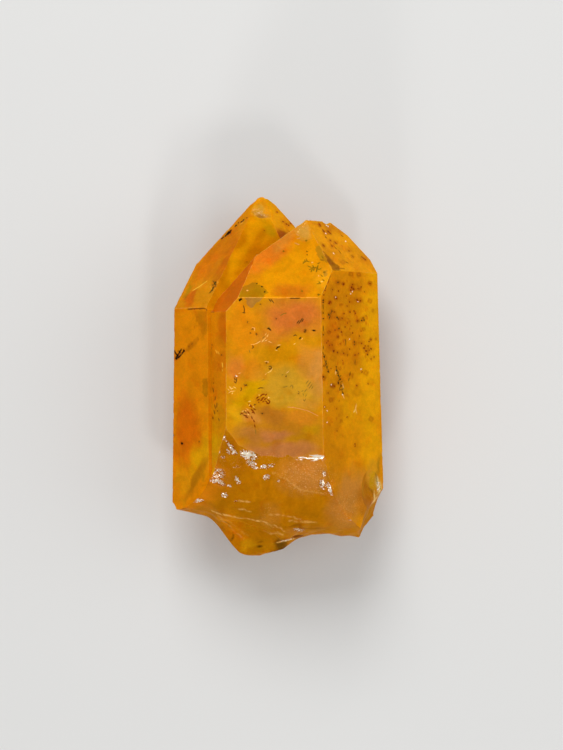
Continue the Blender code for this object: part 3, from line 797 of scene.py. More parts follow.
# ================================================================== soft shapes and noise
def turned(points, centre, halves, turn):
    """How far each point lies from the centre of an ellipse, where 1 is its rim."""
    cos, sin = math.cos(math.radians(turn)), math.sin(math.radians(turn))
    dx, dy = points[:, 0] - centre[0], points[:, 1] - centre[1]
    return np.hypot((dx * cos + dy * sin) / halves[0], (dy * cos - dx * sin) / halves[1])


def linear(colour):
    """A linear colour from sRGB 0 to 255."""
    share = np.asarray(colour, float) / 255.0
    return np.where(share <= 0.04045, share / 12.92, ((share + 0.055) / 1.055) ** 2.4)


def smooth(low, high, value):
    """From 0 to 1, softly, while the value goes from low to high."""
    share = np.clip((value - low) / (high - low), 0.0, 1.0)
    return share * share * (3.0 - 2.0 * share)


def lattice(cell, seed):
    """A fixed value from -1 to 1 for each whole-numbered cell, which large primes shuffle."""
    mixed = cell.astype(np.int64) @ np.array(CELL_PRIMES) + seed * SEED_PRIME
    mixed = (mixed ^ (mixed >> 13)) * MIXING_PRIME & 0xFFFFFFFF
    return ((mixed ^ (mixed >> 16)) & 0xFFFF) / 32767.5 - 1.0


def field(points, size, seed, octaves=1):
    """Smooth noise at each point, about -1 to 1, with features of this size, off every axis."""
    turn = Euler(NOISE_TURN).to_matrix()
    spots = points @ np.array(turn).T / size + SEED_SHIFT * seed
    made, strength = np.zeros(len(points)), 1.0
    for octave in range(octaves):
        whole = np.floor(spots)
        part = spots - whole
        part = part * part * (3.0 - 2.0 * part)
        for corner in np.ndindex(2, 2, 2):
            weight = np.where(corner, part, 1.0 - part).prod(axis=1)
            made += strength * weight * lattice(whole + corner, seed + octave)
        spots, strength = spots * 2.0 + OCTAVE_SHIFT, strength * 0.5
    return made * NOISE_GAIN


def flat_field(points, size, seed, octaves=1):
    """Two such noises, for moving spots in x and y."""
    return np.stack([field(points, size, s, octaves) for s in (seed, seed + octaves)], -1)


# ================================================================== marks on the faces
def camera_place():
    """The camera stands straight above the middle of the box, a little aside."""
    low, high = CAD_BOX
    middle = (low + high) / 2
    return Vector((middle.x + CAMERA_ASIDE[0], middle.y + CAMERA_ASIDE[1], high.z + CAMERA_HEIGHT))


def seen(plane, spot):
    """Where the ray through this pixel of the photo meets the face, seen from above."""
    pixel = VIEW_LENGTH / MM / PHOTO_SIZE[1]
    eye = np.array(camera_place()) / MM
    across, up = spot[0] - PHOTO_SIZE[0] / 2, PHOTO_SIZE[1] / 2 - spot[1]
    ray = np.array((across * pixel, up * pixel, -CAMERA_HEIGHT / MM))
    reach = (plane.offset - plane.normal @ eye) / (plane.normal @ ray)
    return (eye + ray * reach)[:2]


class Mark:
    """Something on a flat face. Unless a kind of mark says otherwise, it's painted and no more."""

    def spots(self):
        """Where mesh points draw the mark's outline."""
        return np.empty((0, 2))

    def clears(self, flat):
        """Which of the mesh's other points would crowd it."""
        return np.zeros(len(flat), bool)

    def depth_at(self, flat):
        """How far each point is cut in."""
        return np.zeros(len(flat))


class Pit(Mark):
    """A small hollow in a flat face: an uneven ellipse with its own colour, and a rusty halo."""

    def __init__(self, centre, length, shape, turn, colour, halo):
        self.centre, self.colour, self.halo = np.array(centre), linear(colour), halo
        self.halves = (length, length / shape)
        self.cos, self.sin = math.cos(math.radians(turn)), math.sin(math.radians(turn))

    def away(self, flat):
        """Distance from the centre, where 1 is the mean rim."""
        dx, dy = (flat - self.centre).T
        along, across = dx * self.cos + dy * self.sin, dy * self.cos - dx * self.sin
        return np.hypot(along / self.halves[0], across / self.halves[1])

    def ring(self, share, count):
        """Spots round the centre, at this share of its size. An odd row stands between its neighbours."""
        angle = 2 * math.pi * (np.arange(count) + 0.5 * (count % 2)) / count
        uneven = 1.0 + PIT_UNEVEN * np.sin(3 * angle + 9.0 * self.centre[0] + 5.0 * self.centre[1])
        along = np.cos(angle) * self.halves[0] * share * uneven
        across = np.sin(angle) * self.halves[1] * share * uneven
        turned_back = (along * self.cos - across * self.sin, along * self.sin + across * self.cos)
        return self.centre + np.stack(turned_back, -1)

    def spots(self):
        return np.concatenate([self.ring(share, count) for share, count in PIT_ROWS])

    def clears(self, flat):
        return self.away(flat) < PIT_CLEAR

    def depth_at(self, flat):
        hollow = np.clip(1.0 - self.away(flat) ** 2, 0.0, 1.0) ** PIT_STEEPNESS
        return PIT_DEPTH * self.halves[1] * hollow

    def paint(self, made, flat):
        away = self.away(flat)
        halo = self.halo * smooth(1.0 + HALO_REACH / self.halves[1], 0.9, away)
        made *= 1.0 + (HALO_TINT - 1.0) * halo[:, None]
        made += (self.colour - made) * smooth(*PIT_RIM, away)[:, None]


class Stroke(Mark):
    """A scratch or a branch of a dendrite: a fine groove along a line of points."""

    def __init__(self, line, half_width, colour):
        self.half_width, self.colour = half_width, linear(colour)
        line = np.array(line)
        self.segments = np.stack((line[:-1], line[1:]), axis=1)

    def away(self, flat):
        """Distance from the line, where 1 is the groove's rim."""
        return nearest(flat, self.segments) / self.half_width

    def spots(self):
        made = []
        for start, end in self.segments:
            run = end - start
            length = max(np.linalg.norm(run), NOTHING)
            side = np.array((-run[1], run[0])) / length * self.half_width
            over = self.half_width / length
            count = max(1, round(length / STROKE_STEP))
            for share in np.linspace(-over, 1.0 + over, count + 2):
                made += [start + run * share + side * offset for offset in STROKE_ROWS]
        return np.array(made)

    def clears(self, flat):
        return self.away(flat) < STROKE_CLEAR

    def depth_at(self, flat):
        return STROKE_DEPTH * self.half_width * np.clip(1.0 - self.away(flat) ** 2, 0.0, 1.0)

    def paint(self, made, flat):
        made += (self.colour - made) * smooth(*STROKE_RIM, self.away(flat))[:, None]


class Stain(Mark):
    """A thin stain with a ragged border, which lets the face show through and isn't sunk."""

    def __init__(self, corners, fade, tint, rng):
        self.fade, self.tint = fade, np.array(tint)
        outline = []
        for start, end in round_trip(corners):
            count = max(1, round(math.dist(start, end) / STAIN_STEP))
            for k in range(count):
                ragged = np.array([rng.uniform(-STAIN_RAGGED, STAIN_RAGGED) for _ in range(2)])
                outline.append(start + (end - start) * k / count + ragged)
        outline = np.array(outline)
        self.segments = np.stack((outline, np.roll(outline, -1, axis=0)), axis=1)

    def spots(self):
        run = self.segments[:, 1] - self.segments[:, 0]
        side = np.stack((-run[:, 1], run[:, 0]), -1) / np.linalg.norm(run, axis=1)[:, None]
        both = (self.segments[:, 0], self.segments.mean(axis=1))
        return np.concatenate([p + side * off for p in both for off in STAIN_ROWS])

    def clears(self, flat):
        return nearest(flat, self.segments) < STAIN_CLEAR

    def paint(self, made, flat):
        away = nearest(flat, self.segments) * np.where(inside(flat, self.segments), -1.0, 1.0)
        made *= 1.0 + (self.tint - 1.0) * smooth(self.fade, -self.fade, away)[:, None]


class Ring(Mark):
    """A soft rusty ring, which looks as if it lay a little under the surface."""

    def __init__(self, centre, radius, strength):
        self.centre, self.radius, self.strength = np.array(centre), radius, strength

    def paint(self, made, flat):
        off = flat - self.centre
        angle = np.arctan2(off[:, 1], off[:, 0])
        bumpy = 1.0 + RING_UNEVEN * np.sin(4.0 * angle + 7.0 * self.centre[0])
        away = np.linalg.norm(off, axis=1) / (self.radius * bumpy)
        rim, middle = np.exp(-(((away - RING_PLACE) / RING_WIDTH) ** 2)), smooth(1.0, 0.3, away)
        share = self.strength * (0.75 * rim + 0.35 * middle)
        made *= 1.0 + (RING_TINT - 1.0) * share[:, None]


def hidden_pits(outline, rng):
    """Pits scattered over the box round a face that looks down. Those outside the face don't show."""
    spots = outline.reshape(-1, 2)
    low, high = spots.min(axis=0), spots.max(axis=0)
    for _ in range(int((high - low).prod() / 100.0 * HIDDEN_PITS_PER_100)):
        centre = (rng.uniform(low[0], high[0]), rng.uniform(low[1], high[1]))
        colour, size = rng.choice(HIDDEN_COLOURS), rng.uniform(*HIDDEN_SIZES)
        turn = HIDDEN_TURN + rng.gauss(0, HIDDEN_TURN_SPREAD)
        yield Pit(centre, size, HIDDEN_SHAPE, turn, colour, HIDDEN_HALO)


def place_marks(planes, outlines):
    """Every mark, in a list for each face. Later marks lie over earlier ones."""
    rng = random.Random(SEED)
    numbers = {}
    for number, plane in enumerate(planes):
        numbers.setdefault(plane.name, number)
    marks = [[] for _ in planes]

    def spots_on(name, places):
        return [seen(planes[numbers[name]], place) for place in places]

    for name, fade, tint, corners in STAINS:
        marks[numbers[name]].append(Stain(spots_on(name, corners), fade, tint, rng))
    for name, strength, rings in RINGS:
        for ring, centre in zip(rings, spots_on(name, rings)):
            marks[numbers[name]].append(Ring(centre, ring[2], strength))
    for name, colour, half_width, lines in STROKES:
        for line in lines:
            marks[numbers[name]].append(Stroke(spots_on(name, line), half_width, colour))
    for name, colour, size, halo, places in PITS:
        for centre in spots_on(name, places):
            length, turn = size * rng.uniform(*PIT_LENGTHS), rng.uniform(0, 180)
            marks[numbers[name]].append(Pit(centre, length, rng.uniform(*PIT_SHAPES), turn, colour, halo))
    for number, plane in enumerate(planes):
        if not plane.up:
            marks[number] += hidden_pits(outlines[number], rng)
    return marks


# ================================================================== filling the faces
def inside(spots, segments):
    """Which spots lie inside the outline, by counting crossings."""
    x, y = spots[:, :1], spots[:, 1:]
    (x1, y1), (x2, y2) = segments[:, 0].T, segments[:, 1].T
    spans = (y1 > y) != (y2 > y)
    rise = np.where(np.abs(y2 - y1) < NOTHING, NOTHING, y2 - y1)
    left = x < (x2 - x1) * (y - y1) / rise + x1
    return (spans & left).sum(axis=1) % 2 == 1


def nearest(spots, segments):
    """Distance from each spot to the nearest of these segments."""
    start, run = segments[:, 0], segments[:, 1] - segments[:, 0]
    squared = np.maximum((run**2).sum(axis=1), NOTHING)
    best = np.full(len(spots), np.inf)
    for s, r, q in zip(start, run, squared):
        share = np.clip(((spots - s) @ r) / q, 0.0, 1.0)
        best = np.minimum(best, np.linalg.norm(spots - s - share[:, None] * r, axis=1))
    return best


def well_inside(spots, segments, margin):
    """The spots that lie inside the outline and clear of it by the margin."""
    spots = spots[inside(spots, segments)]
    return spots[nearest(spots, segments) > margin]


def grid_spots(segments, step, margin):
    """An even triangular grid of spots inside the outline."""
    low, high = segments.reshape(-1, 2).min(axis=0), segments.reshape(-1, 2).max(axis=0)
    rows = np.arange(low[1], high[1], step * math.sqrt(0.75))
    columns = np.arange(low[0], high[0], step)
    x, y = np.meshgrid(columns, rows)
    x = x + (np.arange(len(rows)) % 2)[:, None] * step / 2
    return well_inside(np.stack((x.ravel(), y.ravel()), -1), segments, margin)


def rim_spots(segments, step):
    """Spots one short row inside the outline, which keep each edge's rounding narrow."""
    made = []
    for a, b in segments:
        run = b - a
        length = np.linalg.norm(run)
        count = max(1, round(length / step))
        side = np.array((-run[1], run[0])) / max(length, NOTHING)
        for k in range(count):
            middle = a + run * (k + 0.5) / count
            made += [middle + side * RIM, middle - side * RIM]
    return well_inside(np.array(made), segments, RIM * RIM_CLEAR)


def pair(a, b):
    """The two ends of an edge, the lower one first."""
    return (min(a, b), max(a, b))


def round_trip(corners):
    """Each corner with the one after it, back to the first."""
    return zip(corners, corners[1:] + corners[:1])


def triangulate(spots, edges):
    """Constrained triangles inside the outline, as indices of the spots."""
    _, made_edges, faces, sources, edge_sources, _ = delaunay_2d_cdt(
        [Vector(s) for s in spots], edges, [], 0, WELD, True
    )
    walls = {pair(*edge) for edge, source in zip(made_edges, edge_sources) if source}
    beside = {}
    for number, face in enumerate(faces):
        for k in range(3):
            beside.setdefault(pair(face[k], face[k - 1]), []).append(number)
    # Crossing the outline an odd number of times on the way in means inside.
    within, todo = {}, []
    for edge, owners in beside.items():
        if len(owners) == 1 and owners[0] not in within:
            within[owners[0]] = edge in walls
            todo.append(owners[0])
    while todo:
        number = todo.pop()
        face = faces[number]
        for k in range(3):
            edge = pair(face[k], face[k - 1])
            for other in beside[edge]:
                if other not in within:
                    within[other] = within[number] != (edge in walls)
                    todo.append(other)
    return [[sources[k][0] for k in face] for number, face in enumerate(faces) if within[number]]


class Surface:
    """The dense mesh as it grows: points, and triangles with the number of their surface."""

    def __init__(self, points, triangles, surface, planes):
        self.points = [np.array(p) for p in points]
        self.triangles, self.numbers = [], []
        self.planes = planes
        self.solid_points, self.solid_triangles, self.surface = points, triangles.tolist(), surface
        self.sides = {}
        for number, corners in zip(surface, self.solid_triangles):
            for a, b in round_trip(corners):
                self.sides.setdefault(pair(a, b), []).append(int(number))
        self.split = {}

    def step_of(self, numbers):
        """The finest step of these surfaces."""
        return min(BREAK_STEP if n == BROKEN else self.planes[n].step for n in numbers)

    def edge_points(self, a, b):
        """The points along a solid's edge, from a to b, the same for both of its surfaces."""
        key = pair(a, b)
        if key not in self.split:
            start, end = self.solid_points[key[0]], self.solid_points[key[1]]
            count = max(1, math.ceil(np.linalg.norm(end - start) / self.step_of(self.sides[key])))
            between = []
            for k in range(1, count):
                between.append(len(self.points))
                self.points.append(start + (end - start) * k / count)
            self.split[key] = [key[0], *between, key[1]]
        found = self.split[key]
        return found if a < b else found[::-1]

    def outline_edges(self, number):
        """The solid's edges round a flat face."""
        return [edge for edge, owners in self.sides.items() if owners.count(number) == 1]

    def outline(self, number):
        """The same edges as segments, in the face's own axes."""
        flat = self.planes[number].flat(self.solid_points)
        return np.array([(flat[a], flat[b]) for a, b in self.outline_edges(number)])

    def add_triangles(self, ids, found, number, normal):
        """Adds the triangles found among these points, turned to face along the normal."""
        for corners in found:
            a, b, c = (ids[k] for k in corners)
            turn = np.cross(self.points[b] - self.points[a], self.points[c] - self.points[a]) @ normal
            self.triangles.append((a, b, c) if turn > 0 else (a, c, b))
            self.numbers.append(number)

    def fill_plane(self, number, marks):
        """Fills one flat face with grid points, a rim row, and the points of each mark."""
        plane = self.planes[number]
        segments = self.outline(number)
        ids, edges, place = [], [], {}
        for a, b in self.outline_edges(number):
            run = self.edge_points(a, b)
            for k in run:
                if k not in place:
                    place[k] = len(ids)
                    ids.append(k)
            edges += [(place[p], place[q]) for p, q in zip(run, run[1:])]
        grid = grid_spots(segments, plane.step, RIM + GRID_GAP * plane.step)
        spots = np.concatenate((rim_spots(segments, plane.step), grid))
        drawn = plane.drawn(plane.solid(spots))
        for mark in marks:
            drawn = np.concatenate((drawn[~mark.clears(drawn)], mark.spots()))
        spots = plane.undrawn(drawn)
        kept = np.unique(np.round(spots / CLOSEST), axis=0, return_index=True)[1]
        spots = well_inside(spots[np.sort(kept)], segments, CLOSEST)
        ids += range(len(self.points), len(self.points) + len(spots))
        self.points += list(plane.solid(spots))
        flat = plane.flat(np.array([self.points[k] for k in ids]))
        self.add_triangles(ids, triangulate(flat, edges), number, plane.normal)

    def fill_broken(self):
        """Refines each triangle of the broken surfaces by itself."""
        for number, corners in zip(self.surface, self.solid_triangles):
            if number != BROKEN:
                continue
            a, b, c = self.solid_points[corners]
            normal = np.cross(b - a, c - a)
            size = np.linalg.norm(normal)
            if size < NO_AREA:
                continue
            normal = normal / size
            u = (b - a) / np.linalg.norm(b - a)
            v = np.cross(normal, u)
            ring = []
            for p, q in round_trip(corners):
                ring += self.edge_points(p, q)[:-1]
            ids = list(ring)
            rows = round(math.sqrt(size) / BREAK_STEP)
            for i in range(1, rows):
                for j in range(1, rows - i):
                    ids.append(len(self.points))
                    self.points.append(a + (b - a) * (i / rows) + (c - a) * (j / rows))
            flat = [((self.points[k] - a) @ u, (self.points[k] - a) @ v) for k in ids]
            edges = [(k, (k + 1) % len(ring)) for k in range(len(ring))]
            found = triangulate(flat, edges) if len(ids) > 3 else [(0, 1, 2)]
            self.add_triangles(ids, found, BROKEN, normal)

    def arrays(self):
        """Points, triangles and surface numbers, without points that no triangle uses."""
        used, index = np.unique(np.array(self.triangles), return_inverse=True)
        return np.array(self.points)[used], index.reshape(-1, 3), np.array(self.numbers)


# ================================================================== relief
def point_normals(points, triangles):
    """The outward direction at each point, where larger triangles count for more."""
    a, b, c = points[triangles].transpose(1, 0, 2)
    across = np.cross(b - a, c - a)
    made = np.zeros_like(points)
    for k in range(3):
        np.add.at(made, triangles[:, k], across)
    return made / np.maximum(np.linalg.norm(made, axis=1), NOTHING)[:, None]


def neighbours(count, triangles):
    """Each link between two points, both ways, and how many each point has."""
    links = np.concatenate([triangles[:, [0, 1]], triangles[:, [1, 2]], triangles[:, [2, 0]]])
    links = np.unique(np.sort(links, axis=1), axis=0)
    both = np.concatenate((links, links[:, ::-1]))
    return both[:, 0], both[:, 1], np.bincount(both[:, 0], minlength=count)


def relax(points, triangles, share, rounds):
    """Moves each point by its share of the way to the middle of its neighbours, again and again."""
    here, there, count = neighbours(len(points), triangles)
    for _ in range(rounds):
        total = np.zeros_like(points)
        np.add.at(total, here, points[there])
        mean = total / np.maximum(count, 1)[:, None]
        points = points + (mean - points) * share[:, None]
    return points


def edge_distances(points, triangles, numbers):
    """How far each point is from an edge between crystal faces, and from the break's border."""
    owners = [set() for _ in range(len(points))]
    for corners, number in zip(triangles.tolist(), numbers.tolist()):
        for k in corners:
            owners[k].add(number)
    here, there, _ = neighbours(len(points), triangles)
    length = np.linalg.norm(points[here] - points[there], axis=1)
    on_edge = [len(o - {BROKEN}) > 1 for o in owners]
    on_lip = [BROKEN in o and len(o) > 1 for o in owners]
    found = []
    for marked in (on_edge, on_lip):
        far = np.where(marked, 0.0, EDGE_SEEN)
        for _ in range(EDGE_ROUNDS):
            np.minimum.at(far, here, far[there] + length)
        found.append(far)
    return found


def strongest(areas, points):
    """How strongly each point lies in these areas, seen from above."""
    made = np.zeros(len(points))
    for centre, halves, turn, strength in areas:
        away = turned(points, centre, halves, turn)
        made = np.maximum(made, strength * (1.0 - smooth(*AREA_FADE, away)))
    return made * smooth(*AREA_HEIGHTS, points[:, 2])


def ridge_lines(points):
    """For each point of the break, how far it's cut in beside a ridge, and how near it is to one."""
    cut, near = np.zeros(len(points)), np.zeros(len(points))
    flat = points[:, :2] + RIDGE_WOBBLE * flat_field(points, RIDGE_WOBBLE_SIZE, seed=41)
    for line, strength in RIDGES:
        best, side = np.full(len(points), np.inf), np.zeros(len(points))
        for start, end in zip(np.array(line[:-1]), np.array(line[1:])):
            run = end - start
            share = np.clip((flat - start) @ run / (run @ run), 0.0, 1.0)
            off = flat - start - share[:, None] * run
            away = np.linalg.norm(off, axis=1)
            closer = away < best
            best[closer] = away[closer]
            side[closer] = (run[0] * off[:, 1] - run[1] * off[:, 0])[closer]
        below = smooth(*RIDGE_STEP, np.sign(side) * best)
        cut = np.maximum(cut, strength * below * smooth(RIDGE_REACH, 0.0, best))
        near = np.maximum(near, strength * smooth(*RIDGE_LINE, best))
    return RIDGE_DEPTH * cut, near


def break_relief(points, glint, lip):
    """How far each point of the broken surfaces is cut in: ribs, hackle and grain."""
    away = points - RIB_START
    spread = np.linalg.norm(away * RIB_SPREAD, axis=1) + RIB_BEND * field(points, RIB_BEND_SIZE, seed=3)
    ribs = RIB_DEPTH * (0.5 + 0.5 * np.sin(spread * 2 * math.pi / RIB_PITCH)) ** 3
    ribs *= np.clip(0.6 + field(points, RIB_PATCH_SIZE, seed=4), 0.1, 1.0)
    rough = ROUGH_EVEN + ROUGH_GLINT * glint + ROUGH_DEEP * smooth(*DEEP, points[:, 2])
    torn = field(points * HACKLE_STRETCH, HACKLE_SIZE, seed=5, octaves=2)
    hackle = HACKLE_DEPTH * rough * (0.5 + 0.5 * torn)
    grain = GRAIN_DEPTH * rough * (0.5 + 0.5 * field(points, GRAIN_SIZE, seed=6))
    return (ribs + hackle + grain) * np.clip(lip / EDGE_FADE, 0.15, 1.0)


def face_relief(points):
    """The slight waves and growth lines of the crystal faces."""
    waves = WAVE_DEPTH * (0.5 + 0.5 * field(points * WAVE_STRETCH, WAVE_SIZE, seed=1))
    bend = STRIATION_BEND * field(points, STRIATION_BEND_SIZE, seed=2)
    lines = np.sin(points[:, 1] * 2 * math.pi / STRIATION_PITCH + bend)
    return waves + STRIATION_DEPTH * (0.5 + 0.5 * lines)


# ================================================================== colours of the points
def cloud_colours(base, clouds, points, bend):
    """The broad colour at each point: the base, with each cloud laid over it in turn."""
    made = np.tile(linear(base), (len(points), 1))
    spots = points[:, :2] + bend
    for centre, halves, turn, colour, strength in clouds:
        weight = strength * (1.0 - smooth(*CLOUD_FADE, turned(spots, centre, halves, turn)))
        made += (linear(colour) - made) * weight[:, None]
    return made


def corner_colours(points, triangles, numbers, planes, marks):
    """Tint at each corner of each triangle, so that neighbouring faces keep a clean border."""
    bend = flat_field(points, CLOUD_BEND_SIZE, seed=11, octaves=3) * CLOUD_BEND
    colours = np.empty((len(triangles), 3, 3))
    for number in range(BROKEN, len(planes)):
        mine = np.flatnonzero(numbers == number)
        ids = np.unique(triangles[mine])
        base, clouds = BREAK_TINT, BREAK_CLOUDS
        if number != BROKEN:
            name = planes[number].name
            base, clouds = BASE_TINTS.get(name, OTHER_TINT), CLOUDS.get(name, ())
        made = cloud_colours(base, clouds, points[ids], bend[ids])
        if number != BROKEN:
            drawn = planes[number].drawn(points[ids])
            for mark in marks[number]:
                mark.paint(made, drawn)
        table = np.zeros((len(points), 3))
        table[ids] = made
        colours[mine] = table[triangles[mine]]
    return colours


def rusty_field(points, triangles, numbers, planes):
    """At each corner, how strongly the soft rusty spots and streaks show."""
    made = np.zeros((len(triangles), 3))
    for name, centre, halves, strength in RUSTY:
        inward = strength * (1.0 - smooth(*RUSTY_FADE, turned(points, centre, halves, 0)))
        for number, plane in enumerate(planes):
            if plane.name == name:
                mine = np.flatnonzero(numbers == number)
                made[mine] = np.maximum(made[mine], inward[triangles[mine]])
    return made


def wear_and_light_field(points, triangles, numbers, planes):
    """At each corner, the nearest edge's line: wear and painted rim light above 0, crack and painted shade
    below.
    """
    made = np.zeros((len(triangles), 3))
    for number, plane in enumerate(planes):
        mine = np.flatnonzero(numbers == number)
        across = points[triangles[mine], 0]
        left, right = EDGE_WEAR_AND_LIGHT.get(plane.name, OTHER_EDGE_WEAR_AND_LIGHT)
        share = (across - across.min()) / max(np.ptp(across), NOTHING)
        made[mine] = left + (right - left) * share
    return made


# ================================================================== material
class Nodes:
    """Short calls for a material's node tree. A size is in millimetres."""

    def __init__(self, tree):
        self.tree = tree

    def feed(self, node, values):
        """Gives each of these inputs of a node a constant, or another node's output."""
        for key, value in values.items():
            if isinstance(value, bpy.types.NodeSocket):
                self.tree.links.new(value, node.inputs[key])
            else:
                node.inputs[key].default_value = value
        return node

    def new(self, kind, values, **settings):
        """A new node with these inputs and settings."""
        node = self.tree.nodes.new(kind)
        for name, value in settings.items():
            setattr(node, name, value)
        return self.feed(node, values)

    def attribute(self, name, output="Fac"):
        return self.new("ShaderNodeAttribute", {}, attribute_name=name).outputs[output]

    def place(self, size, stretch=EVEN, turn=0.0):
        """Where a point lies in a pattern of this size, turned about z by so many degrees."""
        spot = self.new("ShaderNodeTexCoord", {}).outputs["Object"]
        if turn:
            turned_back = {"Vector": spot, "Rotation": (0.0, 0.0, math.radians(-turn))}
            spot = self.new("ShaderNodeMapping", turned_back).outputs["Vector"]
        scale = [s / size / MM for s in stretch]
        return self.new("ShaderNodeMapping", {"Vector": spot, "Scale": scale}).outputs["Vector"]

    def noise(self, size, detail, stretch=EVEN, roughness=0.5, distortion=0.0, turn=0.0):
        values = {"Vector": self.place(size, stretch, turn), "Scale": 1.0, "Detail": detail}
        look = {"Roughness": roughness, "Distortion": distortion}
        return self.new("ShaderNodeTexNoise", {**values, **look}).outputs["Fac"]

    def cells(self, spot):
        """What a pattern of cells gives at this spot."""
        return self.new("ShaderNodeTexVoronoi", {"Vector": spot, "Scale": 1.0}).outputs

    def vector(self, operation, values):
        return self.new("ShaderNodeVectorMath", values, operation=operation).outputs

    def facets(self, size):
        """Height of small flat facets of this size, each tilted its own way."""
        spot = self.place(size)
        cells = self.cells(spot)
        in_cell = self.vector("SUBTRACT", {0: spot, 1: cells["Position"]})["Vector"]
        tilt = self.vector("SUBTRACT", {0: cells["Color"], 1: (0.5, 0.5, 0.5)})["Vector"]
        return self.vector("DOT_PRODUCT", {0: in_cell, 1: tilt})["Value"]

    def math(self, operation, a, b=0.0, c=0.0, clamp=False):
        node = self.new("ShaderNodeMath", {0: a, 1: b, 2: c}, operation=operation, use_clamp=clamp)
        return node.outputs[0]

    def times(self, first, *others, clamp=False):
        """The product of all these, each step clamped to 0 to 1 where asked."""
        for other in others:
            first = self.math("MULTIPLY", first, other, clamp=clamp)
        return first

    def ramp(self, value, low, high, to_low=0.0, to_high=1.0):
        """From to_low to to_high, softly, while the value goes from low to high."""
        ends = {"From Min": low, "From Max": high, "To Min": to_low, "To Max": to_high}
        kind = "ShaderNodeMapRange"
        return self.new(kind, {"Value": value, **ends}, interpolation_type="SMOOTHSTEP").outputs["Result"]

    def mix(self, share, a, b, blend="MIX"):
        """Colour a, with this share of colour b over it, or of the two blended another way."""
        a, b = ((*linear(c), 1.0) if isinstance(c, tuple) else c for c in (a, b))
        node = self.new("ShaderNodeMix", {}, data_type="RGBA", blend_type=blend)
        return self.feed(node, {0: share, 6: a, 7: b}).outputs[2]

    def darkened(self, share, colour, tint):
        """The colour, with this share of it multiplied by the tint."""
        return self.mix(share, colour, self.mix(1.0, colour, tint, "MULTIPLY"))


def film_colour(n):
    """Painted tints, shade and sheen in a cloudy iron film: blotches, mottling, grain, rusty spots and
    streaks.
    """
    blotches = n.ramp(n.noise(2.6, 4.0, FLOWING, distortion=0.6), 0.3, 0.7, 0.90, 1.09)
    mottle = n.ramp(n.noise(0.5, 3.0, FLOWING, roughness=0.65), 0.25, 0.75, 0.94, 1.06)
    fine = n.ramp(n.noise(0.2, 1.0, FLOWING), 0.25, 0.75, 0.96, 1.04)
    cloudy = {0: n.attribute("tint", "Color"), "Scale": n.times(blotches, mottle, fine)}
    colour = n.vector("SCALE", cloudy)[0]
    warm = n.ramp(n.noise(2.2, 3.0, FLOWING), 0.52, 0.72, 0.0, 0.5)
    colour = n.darkened(warm, colour, WARM_TINT)

    dots = n.cells(n.place(1.25))["Distance"]
    spots = n.times(n.ramp(dots, 0.42, 0.10), n.ramp(n.noise(1.6, 2.0), 0.44, 0.60))
    streaks = n.ramp(n.noise(1.1, 3.0, (1.0, 0.5, 0.5)), 0.56, 0.72)
    spots = n.math("ADD", n.times(spots, 0.8), n.times(streaks, 0.25))
    return n.darkened(n.times(n.attribute("rusty"), spots, clamp=True), colour, RUST_TINT)


def edge_colour(n, colour):
    """A thin pale line of wear and painted rim light, or a dark crack with painted shade, broken up along
    it.
    """
    patchy = n.ramp(n.noise(0.9, 3.0), 0.38, 0.60, 0.1, 1.0)
    worn_and_lit = n.times(n.ramp(n.attribute("edge"), 0.02, 0.15, 1.0, 0.0), patchy, n.attribute("wear_and_light"))
    # The pale line is wear with painted rim light; the dark one is a crack with painted shade.
    colour = n.mix(n.math("MAXIMUM", worn_and_lit, 0.0, clamp=True), colour, WORN_PALE_AND_RIM_LIGHT)
    colour = n.darkened(n.times(worn_and_lit, -1.0, clamp=True), colour, CRACK_AND_SHADE_TINT)
    crushed = n.ramp(n.attribute("lip"), 0.03, 0.18, 1.0, 0.0)
    hard = n.math("SUBTRACT", 1.0, n.attribute("soft"))
    return n.mix(n.times(crushed, patchy, hard, 0.12), colour, CRUSHED_PALE)


def break_colour(n, colour, broken, glint):
    """Painted highlights on the break's ridges, pale grains with glitter, then painted glint flecks and
    their share.
    """
    # The pale line along each ridge is a painted highlight.
    ridge_highlight = n.times(n.attribute("ridge_highlight"), n.ramp(n.noise(0.8, 2.0), 0.35, 0.6, 0.1, 0.85))
    colour = n.mix(n.times(ridge_highlight, broken, clamp=True), colour, RIDGE_HIGHLIGHT_PALE)
    # Pale grains and painted glitter in the hazy areas.
    grains_and_glitter = n.ramp(n.noise(0.24, 2.0, roughness=0.6), 0.58, 0.66, 0.0, 0.36)
    colour = n.mix(n.times(n.attribute("haze"), grains_and_glitter, clamp=True), colour, GRAIN_AND_GLITTER_PALE)

    # Crushed quartz: painted shade in gaps, pale dust and glow, and painted glints on splinters that catch
    # light.
    crackle = n.noise(0.36, 3.0, (0.6, 1.5, 1.0), distortion=0.8, turn=-38)
    shards = n.cells(n.place(0.21, (1.0, 1.5, 1.0)))["Color"]
    splinter = n.math("MULTIPLY_ADD", shards, 0.5, n.times(crackle, 0.5))
    lit = n.math("MULTIPLY_ADD", glint, 0.2, splinter)
    within = n.ramp(glint, 0.05, 0.40)
    colour = n.darkened(n.times(n.ramp(lit, 0.56, 0.44), within, 0.5), colour, GAP_SHADE_TINT)
    colour = n.mix(n.times(n.ramp(lit, 0.58, 0.66), within, 0.4), colour, DUST_AND_GLINT_GLOW_PALE)
    painted_glint = n.times(n.ramp(lit, 0.66, 0.70), within, clamp=True)

    # Painted glints in strands across the lip.
    glint_strand = n.attribute("glint_strand")
    threads = n.noise(0.36, 3.0, (0.2, 1.6, 1.0), distortion=0.5)
    streak_glint = n.ramp(n.math("MULTIPLY_ADD", glint_strand, 0.28, threads), 0.66, 0.74)
    streak_glint = n.times(streak_glint, n.ramp(glint_strand, 0.02, 0.2), clamp=True)
    painted_glint = n.math("MAXIMUM", painted_glint, streak_glint)
    # The glints' white is a painted highlight, laid over the colour.
    return n.mix(painted_glint, colour, GLINT_WHITE), painted_glint


